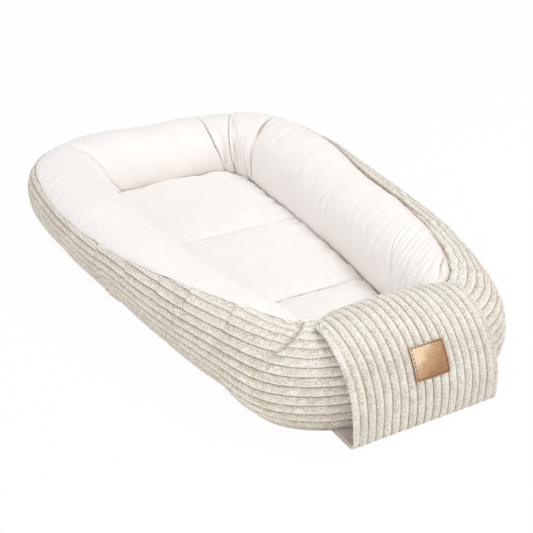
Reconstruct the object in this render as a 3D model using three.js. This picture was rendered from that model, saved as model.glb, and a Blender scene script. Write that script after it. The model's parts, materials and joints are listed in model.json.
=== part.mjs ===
// Infant lounger: a stuffed roll around a quilted floor, held together at the foot by a wide band.
// Millimetres, +Z up, the head end towards +Y. The origin is on the floor below the middle.

import * as THREE from 'three';

// Overall sizes, over the cloth, and the stuffed roll inside it
const loungerLength = 900;
const loungerWidth = 530;
const rollWidth = 128;
const rollHeight = 119;

// Cloth, and the clearance between pieces that touch
const liningDepth = 1.6;
const corduroyDepth = 3.4;
const baseDepth = 5.4;
const touchGap = 0.3;
const seamGap = 0.8;

// Roll
const rollEndGap = 12;
const rollEndDome = 42;
const domeShares = [0.03, 0.12, 0.28, 0.55, 1];
const restShare = 0.94;
const sectionPower = 2.2;
const liningEdgeAngle = THREE.MathUtils.degToRad(209);
const panelEdgeAngle = THREE.MathUtils.degToRad(-60);

// Cross seams of the cloth, as shares of the roll's run from the middle of the head, negative to
// the left
const liningSeamShares = [-0.085, 0.118];
const panelSeamShares = [-0.2515, 0.2515];

// Floor
const floorEdgeAngle = THREE.MathUtils.degToRad(202);
const floorEdgeGap = 0.8;
const padEdgeHeight = 28;
const padCrownHeight = 37;
const padEndPower = 0.5;
const padSidePower = 3.5;
const footChannelPlace = -137;
const headChannelPlace = 90;
const footFloorHalf = 58;
const headFloorHalf = 84;

// Band
const bandWidth = 218;
const bandCrown = 7;
const bandRootRun = 50;
const bandHemRadius = 14;
const bandClearance = 1.2;
const bandFrontShare = 0.23;
const bandInsideShare = 0.58;
const hingeShares = { front: 0.3, top: 0.76, tongue: 0.4 };
const tongueWidth = 98;
const tongueShoulder = 56;
const tongueEndHeight = 44;

// Closing tapes and patch
const tapeDepth = 1.4;
const hookTapeSize = { width: 88, height: 22 };
const hookTapeHeight = 62;
const loopTapeWidth = 18;
const loopTapePlace = 13;
const patchSize = { width: 50, height: 41 };
const patchDepth = 1.8;
const patchOffset = 6;
const patchPlaceShare = 0.465;

// Half of the roll, from the middle of the foot to the middle of the head. across and along are
// shares of the reach of the roll's centre line, outer, inner and lean are shares of the roll's
// width, and tall is a share of its height. The seam angles, in degrees up from the outside, are
// those of the seam between the two cloths. Pairs are the left side and the right side.
const rollShares = [
  { across: 0.00, along: -0.967, outer: [0.440, 0.440], inner: 0.45, lean: 0.11 },
  { across: 0.36, along: -0.965, outer: [0.420, 0.460], inner: 0.45, lean: 0.11 },
  { across: 0.65, along: -0.878, outer: [0.450, 0.490], inner: 0.42, lean: 0.08 },
  { across: 0.76, along: -0.687, outer: [0.445, 0.525], inner: 0.48, lean: -0.01 },
  { across: 0.87, along: -0.454, outer: [0.425, 0.485], inner: 0.50, lean: -0.07 },
  { across: 0.965, along: -0.02, outer: [0.435, 0.460], inner: 0.50, lean: -0.10 },
  { across: 1.00, along: 0.444, outer: [0.490, 0.495], inner: 0.50, lean: -0.09 },
  { across: 0.915, along: 0.858, outer: [0.495, 0.500], inner: 0.48, lean: -0.04 },
  { across: 0.50, along: 0.990, outer: [0.505, 0.490], inner: 0.48, lean: 0.00 },
  { across: 0.00, along: 1.000, outer: [0.500, 0.500], inner: 0.47, lean: 0.00 },
];
const tallShares = [
  [0.98, 0.98], [0.97, 0.97], [0.99, 0.985], [1.04, 1.045], [1.055, 1.03],
  [1.05, 1.01], [1.025, 1.035], [0.995, 0.98], [0.975, 0.93], [0.92, 0.92],
];
const seamAngles = [
  [110, 110], [108, 108], [98, 95], [81, 88], [70, 86],
  [44, 86], [38, 67], [50, 50], [44, 44], [44, 44],
];

// Gathers of the lining at the head corners. place is a share of the roll's run, measured as the
// cross seams are. slant, how far the fold moves along the roll from its top to its bottom, depth
// and spread are shares of the roll's width.
const gatherShares = [
  { place: -0.085, slant: -0.08, depth: 0.031, spread: 0.078 },
  { place: 0.0585, slant: 0.34, depth: 0.039, spread: 0.055 },
  { place: 0.0792, slant: 0.17, depth: 0.047, spread: 0.055 },
  { place: 0.118, slant: 0.16, depth: 0.055, spread: 0.063 },
];
const gatherSlantAngles = [40, 190].map(THREE.MathUtils.degToRad);
const gatherDepthAngles = [50, 120].map(THREE.MathUtils.degToRad);

// Number of facets
const stationStep = 30;
const foldStep = 5;
const foldsPast = 2;
const panelColumns = 7;
const liningColumns = 7;
const bottomColumns = 3;
const floorColumns = 12;
const floorRows = 7;
const bandRows = 7;
const bandColumns = 6;
const tapeRows = 2;
const tapeColumns = 4;
const curveDivisions = 1200;
const wellEdgeSteps = 160;
const probe = 0.5;
const probeAngle = 0.01;

const { degToRad, euclideanModulo, lerp, smoothstep } = THREE.MathUtils;

const clothCover = touchGap + corduroyDepth;
const sideReach = (loungerWidth - rollWidth) / 2 - clothCover;
const endReach = (loungerLength - rollWidth) / 2 - clothCover;
const bandDepth = corduroyDepth + touchGap + liningDepth;
const liningCover = touchGap + liningDepth;
const fillingBase = baseDepth + touchGap;

// Closed curves through the rows of the roll, left side first, all with the same parameter
const sides = { left: 0, right: 1 };
const rollRows = [
  ...rollShares.slice(0, -1).map((row, i) => ({ ...row, row: i, side: sides.left })),
  ...rollShares.slice(1).map((row, i) => ({ ...row, row: i + 1, side: sides.right })).reverse(),
];

function rollCurve(values) {
  const points = rollRows.map((row) => new THREE.Vector3(...values(row)));
  const curve = new THREE.CatmullRomCurve3(points, true, 'centripetal');
  curve.arcLengthDivisions = curveDivisions;
  return curve;
}

const centreCurve = rollCurve(({ side, across, along }) => {
  const turned = side === sides.left ? -across : across;
  return [turned * sideReach, along * endReach, 0];
});
const widthCurve = rollCurve(({ side, outer, inner, lean }) => (
  [outer[side], inner, lean].map((share) => share * rollWidth)
));
const heightCurve = rollCurve(({ side, row }) => (
  [tallShares[row][side] * rollHeight / 2, seamAngles[row][side], 0]
));
const rollRun = centreCurve.getLength();
const rollEnd = (rollRun - rollEndGap) / 2;
const liningSeams = liningSeamShares.map((share) => share * rollRun);
const panelSeams = panelSeamShares.map((share) => share * rollRun);
const gathers = gatherShares.map(({ place, slant, depth, spread }) => ({
  place: place * rollRun,
  slant: slant * rollWidth,
  depth: depth * rollWidth,
  spread: spread * rollWidth,
}));

// Everything about the roll at a distance along it from the middle of the head
function rollStation(place) {
  const share = euclideanModulo(place / rollRun + 1 / 2, 1);
  const t = centreCurve.getUtoTmapping(share);
  const centre = centreCurve.getPoint(t);
  const along = centreCurve.getTangent(t);
  const widths = widthCurve.getPoint(t);
  const heights = heightCurve.getPoint(t);
  return {
    centre,
    outward: new THREE.Vector3(-along.y, along.x, 0),
    outer: widths.x,
    inner: widths.y,
    lean: widths.z,
    tall: heights.x,
    seam: degToRad(heights.y),
  };
}

const powered = (value) => Math.sign(value) * Math.abs(value) ** (2 / sectionPower);

function gatherDepth(place, angle) {
  let depth = 0;
  for (const gather of gathers) {
    const downShare = smoothstep(angle, ...gatherSlantAngles);
    const middle = gather.place + gather.slant * (downShare - 1 / 2);
    const inFold = Math.exp(-(((place - middle) / gather.spread) ** 2));
    depth += gather.depth * inFold * smoothstep(angle, ...gatherDepthAngles);
  }
  return depth;
}

// A point on the filling's surface: angle is 0 outside, 90 degrees on top and 180 inside
function fillingPoint(place, angle) {
  const station = rollStation(place);
  const fromEnd = Math.min((rollEnd - Math.abs(place)) / rollEndDome, 1);
  const dome = Math.sqrt(Math.max(1 - (1 - fromEnd) ** 2, 0));
  const cosine = powered(Math.cos(angle));
  const sine = powered(Math.sin(angle));
  const fold = gatherDepth(place, angle);
  const half = cosine > 0 ? station.outer : station.inner;
  const across = dome * ((half - fold) * cosine - station.lean * sine);
  const rise = dome * (station.tall - fold) * sine;
  const centreHeight = fillingBase + restShare * station.tall;
  const up = centreHeight + Math.max(rise, -restShare * station.tall);
  const point = station.centre.clone().addScaledVector(station.outward, across);
  point.z = up;
  return point;
}

// The same point moved out along the surface's normal
function rollPoint(place, angle, cover) {
  const inside = Math.min(Math.max(place, probe - rollEnd), rollEnd - probe);
  const alongRoll = fillingPoint(inside + probe, angle).sub(fillingPoint(inside - probe, angle));
  const ahead = fillingPoint(inside, angle + probeAngle);
  const aroundRoll = ahead.sub(fillingPoint(inside, angle - probeAngle));
  const normal = aroundRoll.cross(alongRoll).normalize();
  return fillingPoint(place, angle).addScaledVector(normal, cover);
}

function closedGeometry(points, faces) {
  let volume = 0;
  for (let i = 0; i < faces.length; i += 3) {
    const [a, b, c] = faces.slice(i, i + 3).map((index) => points[index]);
    volume += a.dot(b.clone().cross(c));
  }
  if (volume < 0) faces.reverse();
  const geometry = new THREE.BufferGeometry().setFromPoints(points);
  geometry.setIndex(faces);
  geometry.computeVertexNormals();
  return geometry;
}

// A closed slab between two faces, each a grid of points given by row and column
function slabGeometry(rows, columns, front, back) {
  const points = [];
  const faces = [];
  const wide = columns + 1;
  const backStart = wide * (rows + 1);
  const quad = (a, b, c, d) => faces.push(a, b, c, a, c, d);
  for (const face of [front, back]) {
    for (let i = 0; i <= rows; i++) {
      for (let j = 0; j <= columns; j++) points.push(face(i, j));
    }
  }
  const rim = (a, b) => quad(b, a, backStart + a, backStart + b);
  for (let i = 0; i < rows; i++) {
    for (let j = 0; j < columns; j++) {
      const corner = i * wide + j;
      const behind = backStart + corner;
      quad(corner, corner + 1, corner + wide + 1, corner + wide);
      quad(behind, behind + wide, behind + wide + 1, behind + 1);
    }
    rim((i + 1) * wide, i * wide);
    rim(i * wide + columns, (i + 1) * wide + columns);
  }
  for (let j = 0; j < columns; j++) {
    rim(j, j + 1);
    rim(rows * wide + j + 1, rows * wide + j);
  }
  return closedGeometry(points, faces);
}

// A closed tube through rings of points, with a fan at each end
function tubeGeometry(rings) {
  const points = rings.flat();
  const faces = [];
  const sides = rings[0].length;
  for (let i = 0; i < rings.length - 1; i++) {
    for (let j = 0; j < sides; j++) {
      const a = i * sides + j;
      const b = i * sides + (j + 1) % sides;
      faces.push(a, b, b + sides, a, b + sides, a + sides);
    }
  }
  for (const [start, turned] of [[0, true], [(rings.length - 1) * sides, false]]) {
    const middle = new THREE.Vector3();
    for (let j = 0; j < sides; j++) middle.addScaledVector(points[start + j], 1 / sides);
    points.push(middle);
    for (let j = 0; j < sides; j++) {
      const a = start + j;
      const b = start + (j + 1) % sides;
      faces.push(...(turned ? [b, a] : [a, b]), points.length - 1);
    }
  }
  return closedGeometry(points, faces);
}

const lounger = new THREE.Group();

const materials = {
  filling: { color: '#f4f3ef', roughness: 0.95 },
  lining: { color: '#f6efec', roughness: 0.85 },
  corduroy: { color: '#e1d8c7', roughness: 0.95 },
  base: { color: '#e6ddd0', roughness: 0.9 },
  tape: { color: '#efeae2', roughness: 0.8 },
  leather: { color: '#c98a4b', roughness: 0.55 },
};

function addPiece(name, material, geometry) {
  const finish = new THREE.MeshStandardMaterial({ ...materials[material], metalness: 0 });
  const mesh = new THREE.Mesh(geometry, finish);
  mesh.name = name;
  lounger.add(mesh);
}

// Places along the roll where its surfaces have their rows: at the cross seams, in the gathers and
// in the domed ends, with the stretches between filled at about equal steps
function findPlaces() {
  const places = [...liningSeams, ...panelSeams];
  const add = (place, least) => {
    if (places.every((other) => Math.abs(other - place) >= least)) places.push(place);
  };
  for (const share of domeShares) {
    const place = rollEnd - share * rollEndDome;
    places.push(-place, place);
  }
  for (const gather of gathers) {
    const folds = Math.ceil(foldsPast + Math.abs(gather.slant) / 2 / gather.spread);
    for (let k = -folds; k <= folds; k++) add(gather.place + k * gather.spread, foldStep);
  }
  const straight = rollEnd - rollEndDome;
  const count = Math.round(2 * straight / stationStep);
  for (let i = 1; i < count; i++) add(lerp(-straight, straight, i / count), stationStep / 2);
  return places.sort((a, b) => a - b);
}

const rollPlaces = findPlaces();

// The angle of each point round the roll at a place: the side panel first, then the lining
function anglesAt(place) {
  const { seam } = rollStation(place);
  const angles = [];
  for (let j = 0; j < panelColumns; j++) angles.push(lerp(panelEdgeAngle, seam, j / panelColumns));
  for (let j = 0; j <= liningColumns; j++) angles.push(lerp(seam, liningEdgeAngle, j / liningColumns));
  return angles;
}

// Filling
function makeFilling() {
  const turn = Math.PI * 2;
  const rings = rollPlaces.map((place) => {
    const angles = anglesAt(place);
    for (let j = 1; j < bottomColumns; j++) {
      angles.push(lerp(liningEdgeAngle, panelEdgeAngle + turn, j / bottomColumns));
    }
    return angles.map((angle) => fillingPoint(place, angle));
  });
  addPiece('roll_filling', 'filling', tubeGeometry(rings));
}

// Cloth over a stretch of the roll and some of the points round it
function addSkin(name, material, from, to, first, columns, depth) {
  const places = rollPlaces.filter((place) => place >= from && place <= to);
  places[0] += seamGap / 2;
  places[places.length - 1] -= seamGap / 2;
  const seamColumn = panelColumns - first;
  const seamTrim = (seamColumn > 0 ? -1 : 1) * touchGap / rollWidth;
  const face = (cover) => (i, j) => {
    const trim = j === seamColumn ? seamTrim : 0;
    return rollPoint(places[i], anglesAt(places[i])[first + j] + trim, cover);
  };
  addPiece(name, material, slabGeometry(
    places.length - 1,
    columns,
    face(touchGap + depth),
    face(touchGap),
  ));
}

function makeSkins() {
  const end = rollPlaces.at(-1);
  for (const [name, from, to] of [['left', -end, 0], ['head', 0, 1], ['right', 1, end]]) {
    const ends = (seams) => [from === -end ? -end : seams[from], to === end ? end : seams[to]];
    addSkin(`lining_${name}`, 'lining', ...ends(liningSeams), panelColumns, liningColumns, liningDepth);
    addSkin(`side_panel_${name}`, 'corduroy', ...ends(panelSeams), 0, panelColumns, corduroyDepth);
  }
}

// The inner edge of the roll at floor height, from the foot to the head
const wellEdge = [];
for (let i = 0; i <= wellEdgeSteps; i++) {
  const place = lerp(0, rollEnd - rollEndDome, i / wellEdgeSteps);
  const cover = liningCover + floorEdgeGap;
  const [left, right] = [-place, place].map((at) => rollPoint(at, floorEdgeAngle, cover));
  wellEdge.push(new THREE.Vector2(Math.min(-left.x, right.x), (left.y + right.y) / 2));
}

// Where the edge is a given half width, near the foot or near the head
function wellEnd(halfWidth, nearFoot) {
  const order = nearFoot ? wellEdge.toReversed() : wellEdge;
  return order.find((point) => point.x >= halfWidth).y;
}

function wellHalf(along) {
  const reached = (point, i) => i > 0 && wellEdge[i - 1].y >= along && point.y <= along;
  const next = wellEdge.findIndex(reached);
  if (next < 0) return along > 0 ? headFloorHalf : footFloorHalf;
  const [a, b] = [wellEdge[next - 1], wellEdge[next]];
  return lerp(a.x, b.x, (a.y - along) / Math.max(a.y - b.y, touchGap));
}

const floorFoot = wellEnd(footFloorHalf, true);
const floorHead = wellEnd(headFloorHalf, false);
const headBow = wellEdge[0].y - floorHead;

// A point of the floor's padding: section runs from 0 to 1 along it and across from -1 to 1
function floorPoint(from, to, section, across, cover) {
  const along = lerp(from, to, section);
  const crown = Math.sin(Math.PI * section) ** padEndPower * (1 - Math.abs(across) ** padSidePower);
  const bow = headBow * (1 - across ** 2) * smoothstep(along, headChannelPlace, floorHead);
  const height = lerp(padEdgeHeight, padCrownHeight, Math.max(crown, 0)) + cover;
  return new THREE.Vector3(across * wellHalf(along), along + bow, height);
}

const floorSections = [
  ['foot', floorFoot, footChannelPlace],
  ['middle', footChannelPlace, headChannelPlace],
  ['head', headChannelPlace, floorHead],
];
const rowShare = (i) => (1 - Math.cos(Math.PI * i / floorRows)) / 2;
const acrossShare = (j) => Math.sin(Math.PI * (j / floorColumns - 1 / 2));

function makeFloor() {
  for (const [name, from, to] of floorSections) {
    const ends = [from + touchGap, to - touchGap];
    const above = (i, j) => floorPoint(...ends, rowShare(i), acrossShare(j), 0);
    const under = (i, j) => above(i, j).setZ(fillingBase);
    addPiece(`floor_pad_${name}`, 'filling', slabGeometry(floorRows, floorColumns, above, under));
  }
  const lining = (cover) => (i, j) => {
    const section = floorSections[Math.min(Math.floor(i / floorRows), floorSections.length - 1)];
    const row = i - floorSections.indexOf(section) * floorRows;
    return floorPoint(section[1], section[2], rowShare(row), acrossShare(j), cover);
  };
  addPiece('floor_lining', 'lining', slabGeometry(
    floorRows * floorSections.length,
    floorColumns,
    lining(liningCover),
    lining(touchGap),
  ));
}

// The band's outer face seen from the side: x runs along the lounger and y is its height
const footStation = rollStation(rollEnd - rollEndDome);
const footCentre = footStation.centre.y;
const footTop = fillingBase + (1 + restShare) * footStation.tall;
const bandFront = -loungerLength / 2;
const bandRoot = bandFront + bandRootRun;
const bandCrest = footCentre + footStation.lean;
const bandTop = footTop + touchGap + corduroyDepth + bandClearance + bandDepth;
const tapeRoom = liningCover + seamGap + 2 * touchGap + 2 * tapeDepth;
const bandInside = footCentre + footStation.inner + tapeRoom + bandDepth;
const bandFrontCentre = bandFrontShare * bandTop;
const bandInsideCentre = bandInsideShare * bandTop;
const quarter = Math.PI / 2;

const flatPoint = (along, height) => new THREE.Vector2(along, height);
const hemCentre = bandFront + bandHemRadius;
const bandPath = new THREE.CurvePath();
bandPath.add(new THREE.LineCurve(flatPoint(bandRoot, 0), flatPoint(hemCentre, 0)));
bandPath.add(new THREE.EllipseCurve(
  hemCentre, bandHemRadius, bandHemRadius, bandHemRadius, -quarter, -2 * quarter, true,
));
bandPath.add(new THREE.LineCurve(
  flatPoint(bandFront, bandHemRadius),
  flatPoint(bandFront, bandFrontCentre),
));
bandPath.add(new THREE.EllipseCurve(
  bandCrest, bandFrontCentre, bandCrest - bandFront, bandTop - bandFrontCentre, 2 * quarter, quarter, true,
));
bandPath.add(new THREE.EllipseCurve(
  bandCrest, bandInsideCentre, bandInside - bandCrest, bandTop - bandInsideCentre, quarter, 0, true,
));
bandPath.add(new THREE.LineCurve(
  flatPoint(bandInside, bandInsideCentre),
  flatPoint(bandInside, tongueEndHeight),
));
const bandRun = bandPath.getLength();

// The band's segments end at its hinges
const [, hemRun, , frontRun, insideRun] = bandPath.getCurveLengths();
const hinges = {
  lower: hemRun,
  front: lerp(hemRun, frontRun, hingeShares.front),
  top: lerp(hemRun, frontRun, hingeShares.top),
  tongue: lerp(frontRun, insideRun, hingeShares.tongue),
};

// A point of the band, run along its side view and depth below its outer face. Above the hem it
// is crowned towards its middle.
function bandPoint(run, x, depth) {
  const share = Math.min(run / bandRun, 1);
  const place = bandPath.getPoint(share);
  const along = bandPath.getTangent(share);
  const rise = smoothstep(run, hemRun, hinges.top) * (1 - smoothstep(run, hinges.tongue, insideRun));
  const inwards = depth - bandCrown * rise * (1 - (2 * x / bandWidth) ** 2);
  return new THREE.Vector3(x, place.x + along.y * inwards, place.y - along.x * inwards);
}

function bandHalf(run) {
  const shoulder = smoothstep(run, frontRun, frontRun + tongueShoulder);
  return lerp(bandWidth, tongueWidth, shoulder) / 2;
}

function addBandSlab(name, material, from, to, outerDepth, depth, half, middle = 0) {
  const face = (at) => (i, j) => {
    const run = lerp(from, to, i / bandRows);
    return bandPoint(run, middle + half(run) * (2 * j / bandColumns - 1), at);
  };
  const geometry = slabGeometry(bandRows, bandColumns, face(outerDepth), face(outerDepth + depth));
  addPiece(name, material, geometry);
}

function makeBand() {
  const segments = [
    ['root', 0, hinges.lower],
    ['lower', hinges.lower, hinges.front],
    ['front', hinges.front, hinges.top],
    ['top', hinges.top, hinges.tongue],
    ['tongue', hinges.tongue, bandRun],
  ];
  const liningAt = corduroyDepth + touchGap;
  for (const [name, from, to] of segments) {
    const ends = [from + touchGap / 2, to - touchGap / 2];
    addBandSlab(`band_${name}_outer`, 'corduroy', ...ends, 0, corduroyDepth, bandHalf);
    addBandSlab(`band_${name}_lining`, 'lining', ...ends, liningAt, liningDepth, bandHalf);
  }
}

function makePatch() {
  const middle = lerp(hemRun, frontRun, patchPlaceShare);
  const { width, height } = patchSize;
  const ends = [middle - height / 2, middle + height / 2];
  const outerDepth = -touchGap - patchDepth;
  addBandSlab('patch', 'leather', ...ends, outerDepth, patchDepth, () => width / 2, patchOffset);
}

function makeTapes() {
  const { width, height } = hookTapeSize;
  const tapeRun = bandRun - (hookTapeHeight - tongueEndHeight);
  const ends = [tapeRun - height / 2, tapeRun + height / 2];
  addBandSlab('hook_tape', 'tape', ...ends, bandDepth + touchGap, tapeDepth, () => width / 2);
  const middle = rollStation(rollEnd).tall;
  const spread = height / 2 / middle;
  const from = rollEnd - loopTapePlace;
  for (const [name, side] of [['right', 1], ['left', -1]]) {
    const face = (cover) => (i, j) => rollPoint(
      side * (from - loopTapeWidth * i / tapeRows),
      Math.PI + spread * (2 * j / tapeColumns - 1),
      liningCover + seamGap + cover,
    );
    addPiece(`loop_tape_${name}`, 'tape', slabGeometry(tapeRows, tapeColumns, face(tapeDepth), face(0)));
  }
}

// Base panel: the flat cloth below everything, cut straight where the band is sewn to it
function makeBase() {
  const cut = bandWidth / 2 + touchGap;
  const front = bandRoot + touchGap;
  const steps = Math.round(rollRun / stationStep);
  const outline = [];
  for (let i = 0; i <= steps; i++) {
    const place = lerp(-rollEnd, rollEnd, i / steps);
    const point = rollPoint(place, panelEdgeAngle, touchGap);
    if (point.y > front || Math.abs(point.x) > cut) outline.push(new THREE.Vector2(point.x, point.y));
  }
  outline.push(new THREE.Vector2(cut, front), new THREE.Vector2(-cut, front));
  const shape = new THREE.Shape(outline);
  const geometry = new THREE.ExtrudeGeometry(shape, { depth: baseDepth, bevelEnabled: false });
  addPiece('base_panel', 'base', geometry);
}

makeFilling();
makeSkins();
makeFloor();
makeBand();
makePatch();
makeTapes();
makeBase();

export default lounger;
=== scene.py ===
"""Looks of the infant lounger: cloth, stuffing, corduroy band and leather patch around the frame.

Metres, +Z up, the head end towards +Y. Places along the roll are distances along its centre line
from the middle of the head, negative to the left. Angles round it are 0 outside, 90 degrees on
top and 180 inside.
"""

import json
import math

import bpy
import numpy as np
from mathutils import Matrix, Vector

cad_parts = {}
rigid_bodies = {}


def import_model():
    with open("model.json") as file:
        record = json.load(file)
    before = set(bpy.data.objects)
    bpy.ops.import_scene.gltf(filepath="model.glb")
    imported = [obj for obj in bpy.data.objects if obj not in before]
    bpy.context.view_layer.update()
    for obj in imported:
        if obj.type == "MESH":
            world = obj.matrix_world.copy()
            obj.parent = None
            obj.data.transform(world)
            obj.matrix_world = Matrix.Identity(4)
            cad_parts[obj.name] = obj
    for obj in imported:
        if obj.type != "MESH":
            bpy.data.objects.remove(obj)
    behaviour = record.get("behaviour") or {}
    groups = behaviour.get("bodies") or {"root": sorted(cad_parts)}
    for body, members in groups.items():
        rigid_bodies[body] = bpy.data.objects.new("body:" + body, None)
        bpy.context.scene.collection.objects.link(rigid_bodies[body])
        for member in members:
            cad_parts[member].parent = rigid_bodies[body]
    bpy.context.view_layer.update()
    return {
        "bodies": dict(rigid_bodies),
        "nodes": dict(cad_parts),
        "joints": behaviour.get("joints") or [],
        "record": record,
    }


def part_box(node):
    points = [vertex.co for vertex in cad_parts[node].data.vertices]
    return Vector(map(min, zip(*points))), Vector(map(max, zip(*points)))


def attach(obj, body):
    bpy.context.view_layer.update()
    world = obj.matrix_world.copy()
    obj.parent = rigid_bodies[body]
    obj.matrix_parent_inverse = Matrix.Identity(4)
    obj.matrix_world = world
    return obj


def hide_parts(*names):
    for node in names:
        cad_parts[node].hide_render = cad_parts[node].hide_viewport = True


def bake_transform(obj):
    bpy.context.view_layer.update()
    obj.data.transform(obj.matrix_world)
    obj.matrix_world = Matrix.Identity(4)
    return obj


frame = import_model()

MM = 0.001

# Overall sizes and the stuffed roll
LOUNGER_LENGTH = 0.900
LOUNGER_WIDTH = 0.530
ROLL_WIDTH = 0.128
ROLL_HEIGHT = 0.119
ROLL_END_GAP = 0.012
ROLL_END_DOME = 0.042
REST_SHARE = 0.94
SECTION_POWER = 2.2
PANEL_EDGE_ANGLE = math.radians(-60)

# Cloth
LINING_DEPTH = 0.0016
CORDUROY_DEPTH = 0.0034
BASE_DEPTH = 0.0054
TOUCH_GAP = 0.0003

# Half of the roll, from the middle of the foot to the middle of the head: across and along as
# shares of the reach of the centre line, outer (left, right), inner and lean as shares of the
# roll's width, tall (left, right) as shares of its height, and the angle of the seam (left, right)
ROLL_SHARES = (
    (0.00, -0.967, (0.440, 0.440), 0.45, 0.11, (0.980, 0.980), (110, 110)),
    (0.36, -0.965, (0.420, 0.460), 0.45, 0.11, (0.970, 0.970), (108, 108)),
    (0.65, -0.878, (0.450, 0.490), 0.42, 0.08, (0.990, 0.985), (98, 95)),
    (0.76, -0.687, (0.445, 0.525), 0.48, -0.01, (1.040, 1.045), (81, 88)),
    (0.87, -0.454, (0.425, 0.485), 0.50, -0.07, (1.055, 1.030), (70, 86)),
    (0.965, -0.02, (0.435, 0.460), 0.50, -0.10, (1.050, 1.010), (44, 86)),
    (1.00, 0.444, (0.490, 0.495), 0.50, -0.09, (1.025, 1.035), (38, 67)),
    (0.915, 0.858, (0.495, 0.500), 0.48, -0.04, (0.995, 0.980), (50, 50)),
    (0.50, 0.990, (0.505, 0.490), 0.48, 0.00, (0.975, 0.930), (44, 44)),
    (0.00, 1.000, (0.500, 0.500), 0.47, 0.00, (0.920, 0.920), (44, 44)),
)

# Gathers at the head corners: place as a share of the roll's run, slant, depth and spread as
# shares of its width
GATHER_SHARES = (
    (-0.085, -0.08, 0.031, 0.078),
    (0.0585, 0.34, 0.039, 0.055),
    (0.0792, 0.17, 0.047, 0.055),
    (0.118, 0.16, 0.055, 0.063),
)
GATHER_SLANT_ANGLES = (math.radians(40), math.radians(190))
GATHER_DEPTH_ANGLES = (math.radians(50), math.radians(120))

# Cross seams: the corduroy's as shares of the run, the lining's as their depth in millimetres, the
# painted shade along them and a line of (place, degrees)
PANEL_SEAM_SHARES = (-0.2515, 0.2515)
LINING_SEAMS = (
    (2.0, 0.10, ((-0.150, 40), (-0.158, 70), (-0.166, 100), (-0.165, 140), (-0.157, 165),
                 (-0.142, 179), (-0.122, 192), (-0.100, 209))),
    (3.8, 0.72, ((0.208, 40), (0.214, 70), (0.226, 95), (0.236, 120), (0.246, 142), (0.258, 160),
                 (0.268, 182), (0.274, 209))),
)

# Creases of the lining: depth and half width of the sharp line in millimetres, then a line of
# (place, degrees)
CREASES = (
    (6.0, 1.5, ((0.088, 68), (0.097, 94), (0.103, 122), (0.114, 154), (0.126, 176), (0.136, 204))),
    (2.2, 1.2, ((0.103, 84), (0.110, 108), (0.116, 132), (0.124, 152))),
    (5.5, 1.4, ((0.149, 50), (0.149, 66), (0.148, 124), (0.151, 156), (0.158, 180), (0.172, 206))),
    (3.2, 1.3, ((0.160, 60), (0.156, 95), (0.156, 123), (0.163, 160), (0.186, 200))),
    (2.2, 1.3, ((0.126, 150), (0.132, 168), (0.150, 204))),
    (2.2, 1.3, ((0.172, 128), (0.182, 156), (0.200, 202))),
    (2.4, 1.3, ((0.186, 132), (0.196, 160), (0.214, 202))),
    (2.0, 1.3, ((0.208, 138), (0.216, 160), (0.230, 196))),
    (2.2, 1.3, ((0.224, 146), (0.232, 168), (0.246, 204))),
    (1.4, 2.2, ((0.289, 70), (0.300, 94), (0.306, 120), (0.312, 150))),
    (1.2, 2.4, ((0.413, 108), (0.411, 142), (0.400, 159), (0.390, 178))),
    (1.2, 2.2, ((0.424, 120), (0.420, 146), (0.410, 166))),
    (2.0, 2.2, ((0.507, 106), (0.509, 143), (0.504, 161), (0.507, 171), (0.526, 190))),
    (1.8, 2.0, ((0.520, 110), (0.520, 142), (0.521, 158), (0.530, 169), (0.552, 190))),
    (1.6, 2.2, ((0.582, 112), (0.590, 134), (0.600, 150), (0.618, 172))),
    (1.6, 2.0, ((0.640, 112), (0.643, 140), (0.653, 152), (0.682, 176))),
    (2.4, 2.0, ((0.667, 96), (0.681, 129), (0.684, 146), (0.690, 178))),
    (2.4, 2.0, ((0.696, 96), (0.719, 128), (0.741, 146), (0.763, 164), (0.786, 190))),
    (2.0, 1.8, ((0.704, 96), (0.732, 126), (0.750, 146), (0.766, 164), (0.778, 190))),
    (2.8, 2.1, ((0.714, 84), (0.751, 117), (0.761, 136), (0.769, 161), (0.772, 194))),
    (2.0, 1.8, ((0.728, 88), (0.762, 116), (0.776, 136), (0.784, 158), (0.788, 190))),
    (2.8, 2.1, ((0.742, 84), (0.776, 112), (0.793, 136), (0.798, 154), (0.803, 190))),
    (2.0, 1.8, ((0.756, 88), (0.788, 112), (0.799, 134), (0.803, 150), (0.808, 184))),
    (2.8, 2.1, ((0.770, 86), (0.800, 111), (0.805, 134), (0.808, 148), (0.814, 180))),
    (1.8, 1.8, ((0.782, 88), (0.811, 110), (0.818, 130), (0.824, 148), (0.830, 176))),
    (2.4, 2.0, ((0.790, 86), (0.821, 109), (0.832, 124), (0.840, 146), (0.846, 170))),
    (6.0, 2.0, ((0.804, 83), (0.815, 90), (0.827, 97), (0.842, 104), (0.884, 112))),
    (1.0, 2.6, ((0.021, 80), (0.019, 103), (0.016, 119), (0.012, 138))),
    (1.6, 1.6, ((0.034, 70), (0.038, 82), (0.045, 96))),
    (1.4, 1.6, ((-0.182, 60), (-0.168, 74), (-0.156, 92))),
    (1.6, 1.6, ((-0.246, 48), (-0.232, 66), (-0.212, 88))),
    (1.4, 1.6, ((-0.281, 40), (-0.279, 62), (-0.270, 88))),
    (1.2, 1.6, ((-0.312, 40), (-0.307, 58), (-0.296, 80))),
    (1.2, 1.6, ((-0.352, 42), (-0.346, 58), (-0.336, 76))),
    (1.6, 1.5, ((-0.431, 48), (-0.426, 58), (-0.416, 70))),
    (1.4, 1.5, ((-0.499, 52), (-0.493, 66), (-0.484, 82))),
)
CREASE_STEPS = 8
CREASE_LIP_SHARE = 0.18
CREASE_ROUNDING = 3.5
CREASE_SHARPNESS = 0.86
CREASE_OVERHANG = 0.35
# Painted shade along each crease's line, darker for deeper creases
CREASE_PAINTED_SHADE = 0.75
CREASE_SHADE_POWER = 2.1
CREASE_SHADE_WIDTH = 0.0014
CREASE_BOTTOM = 0.9
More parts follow.
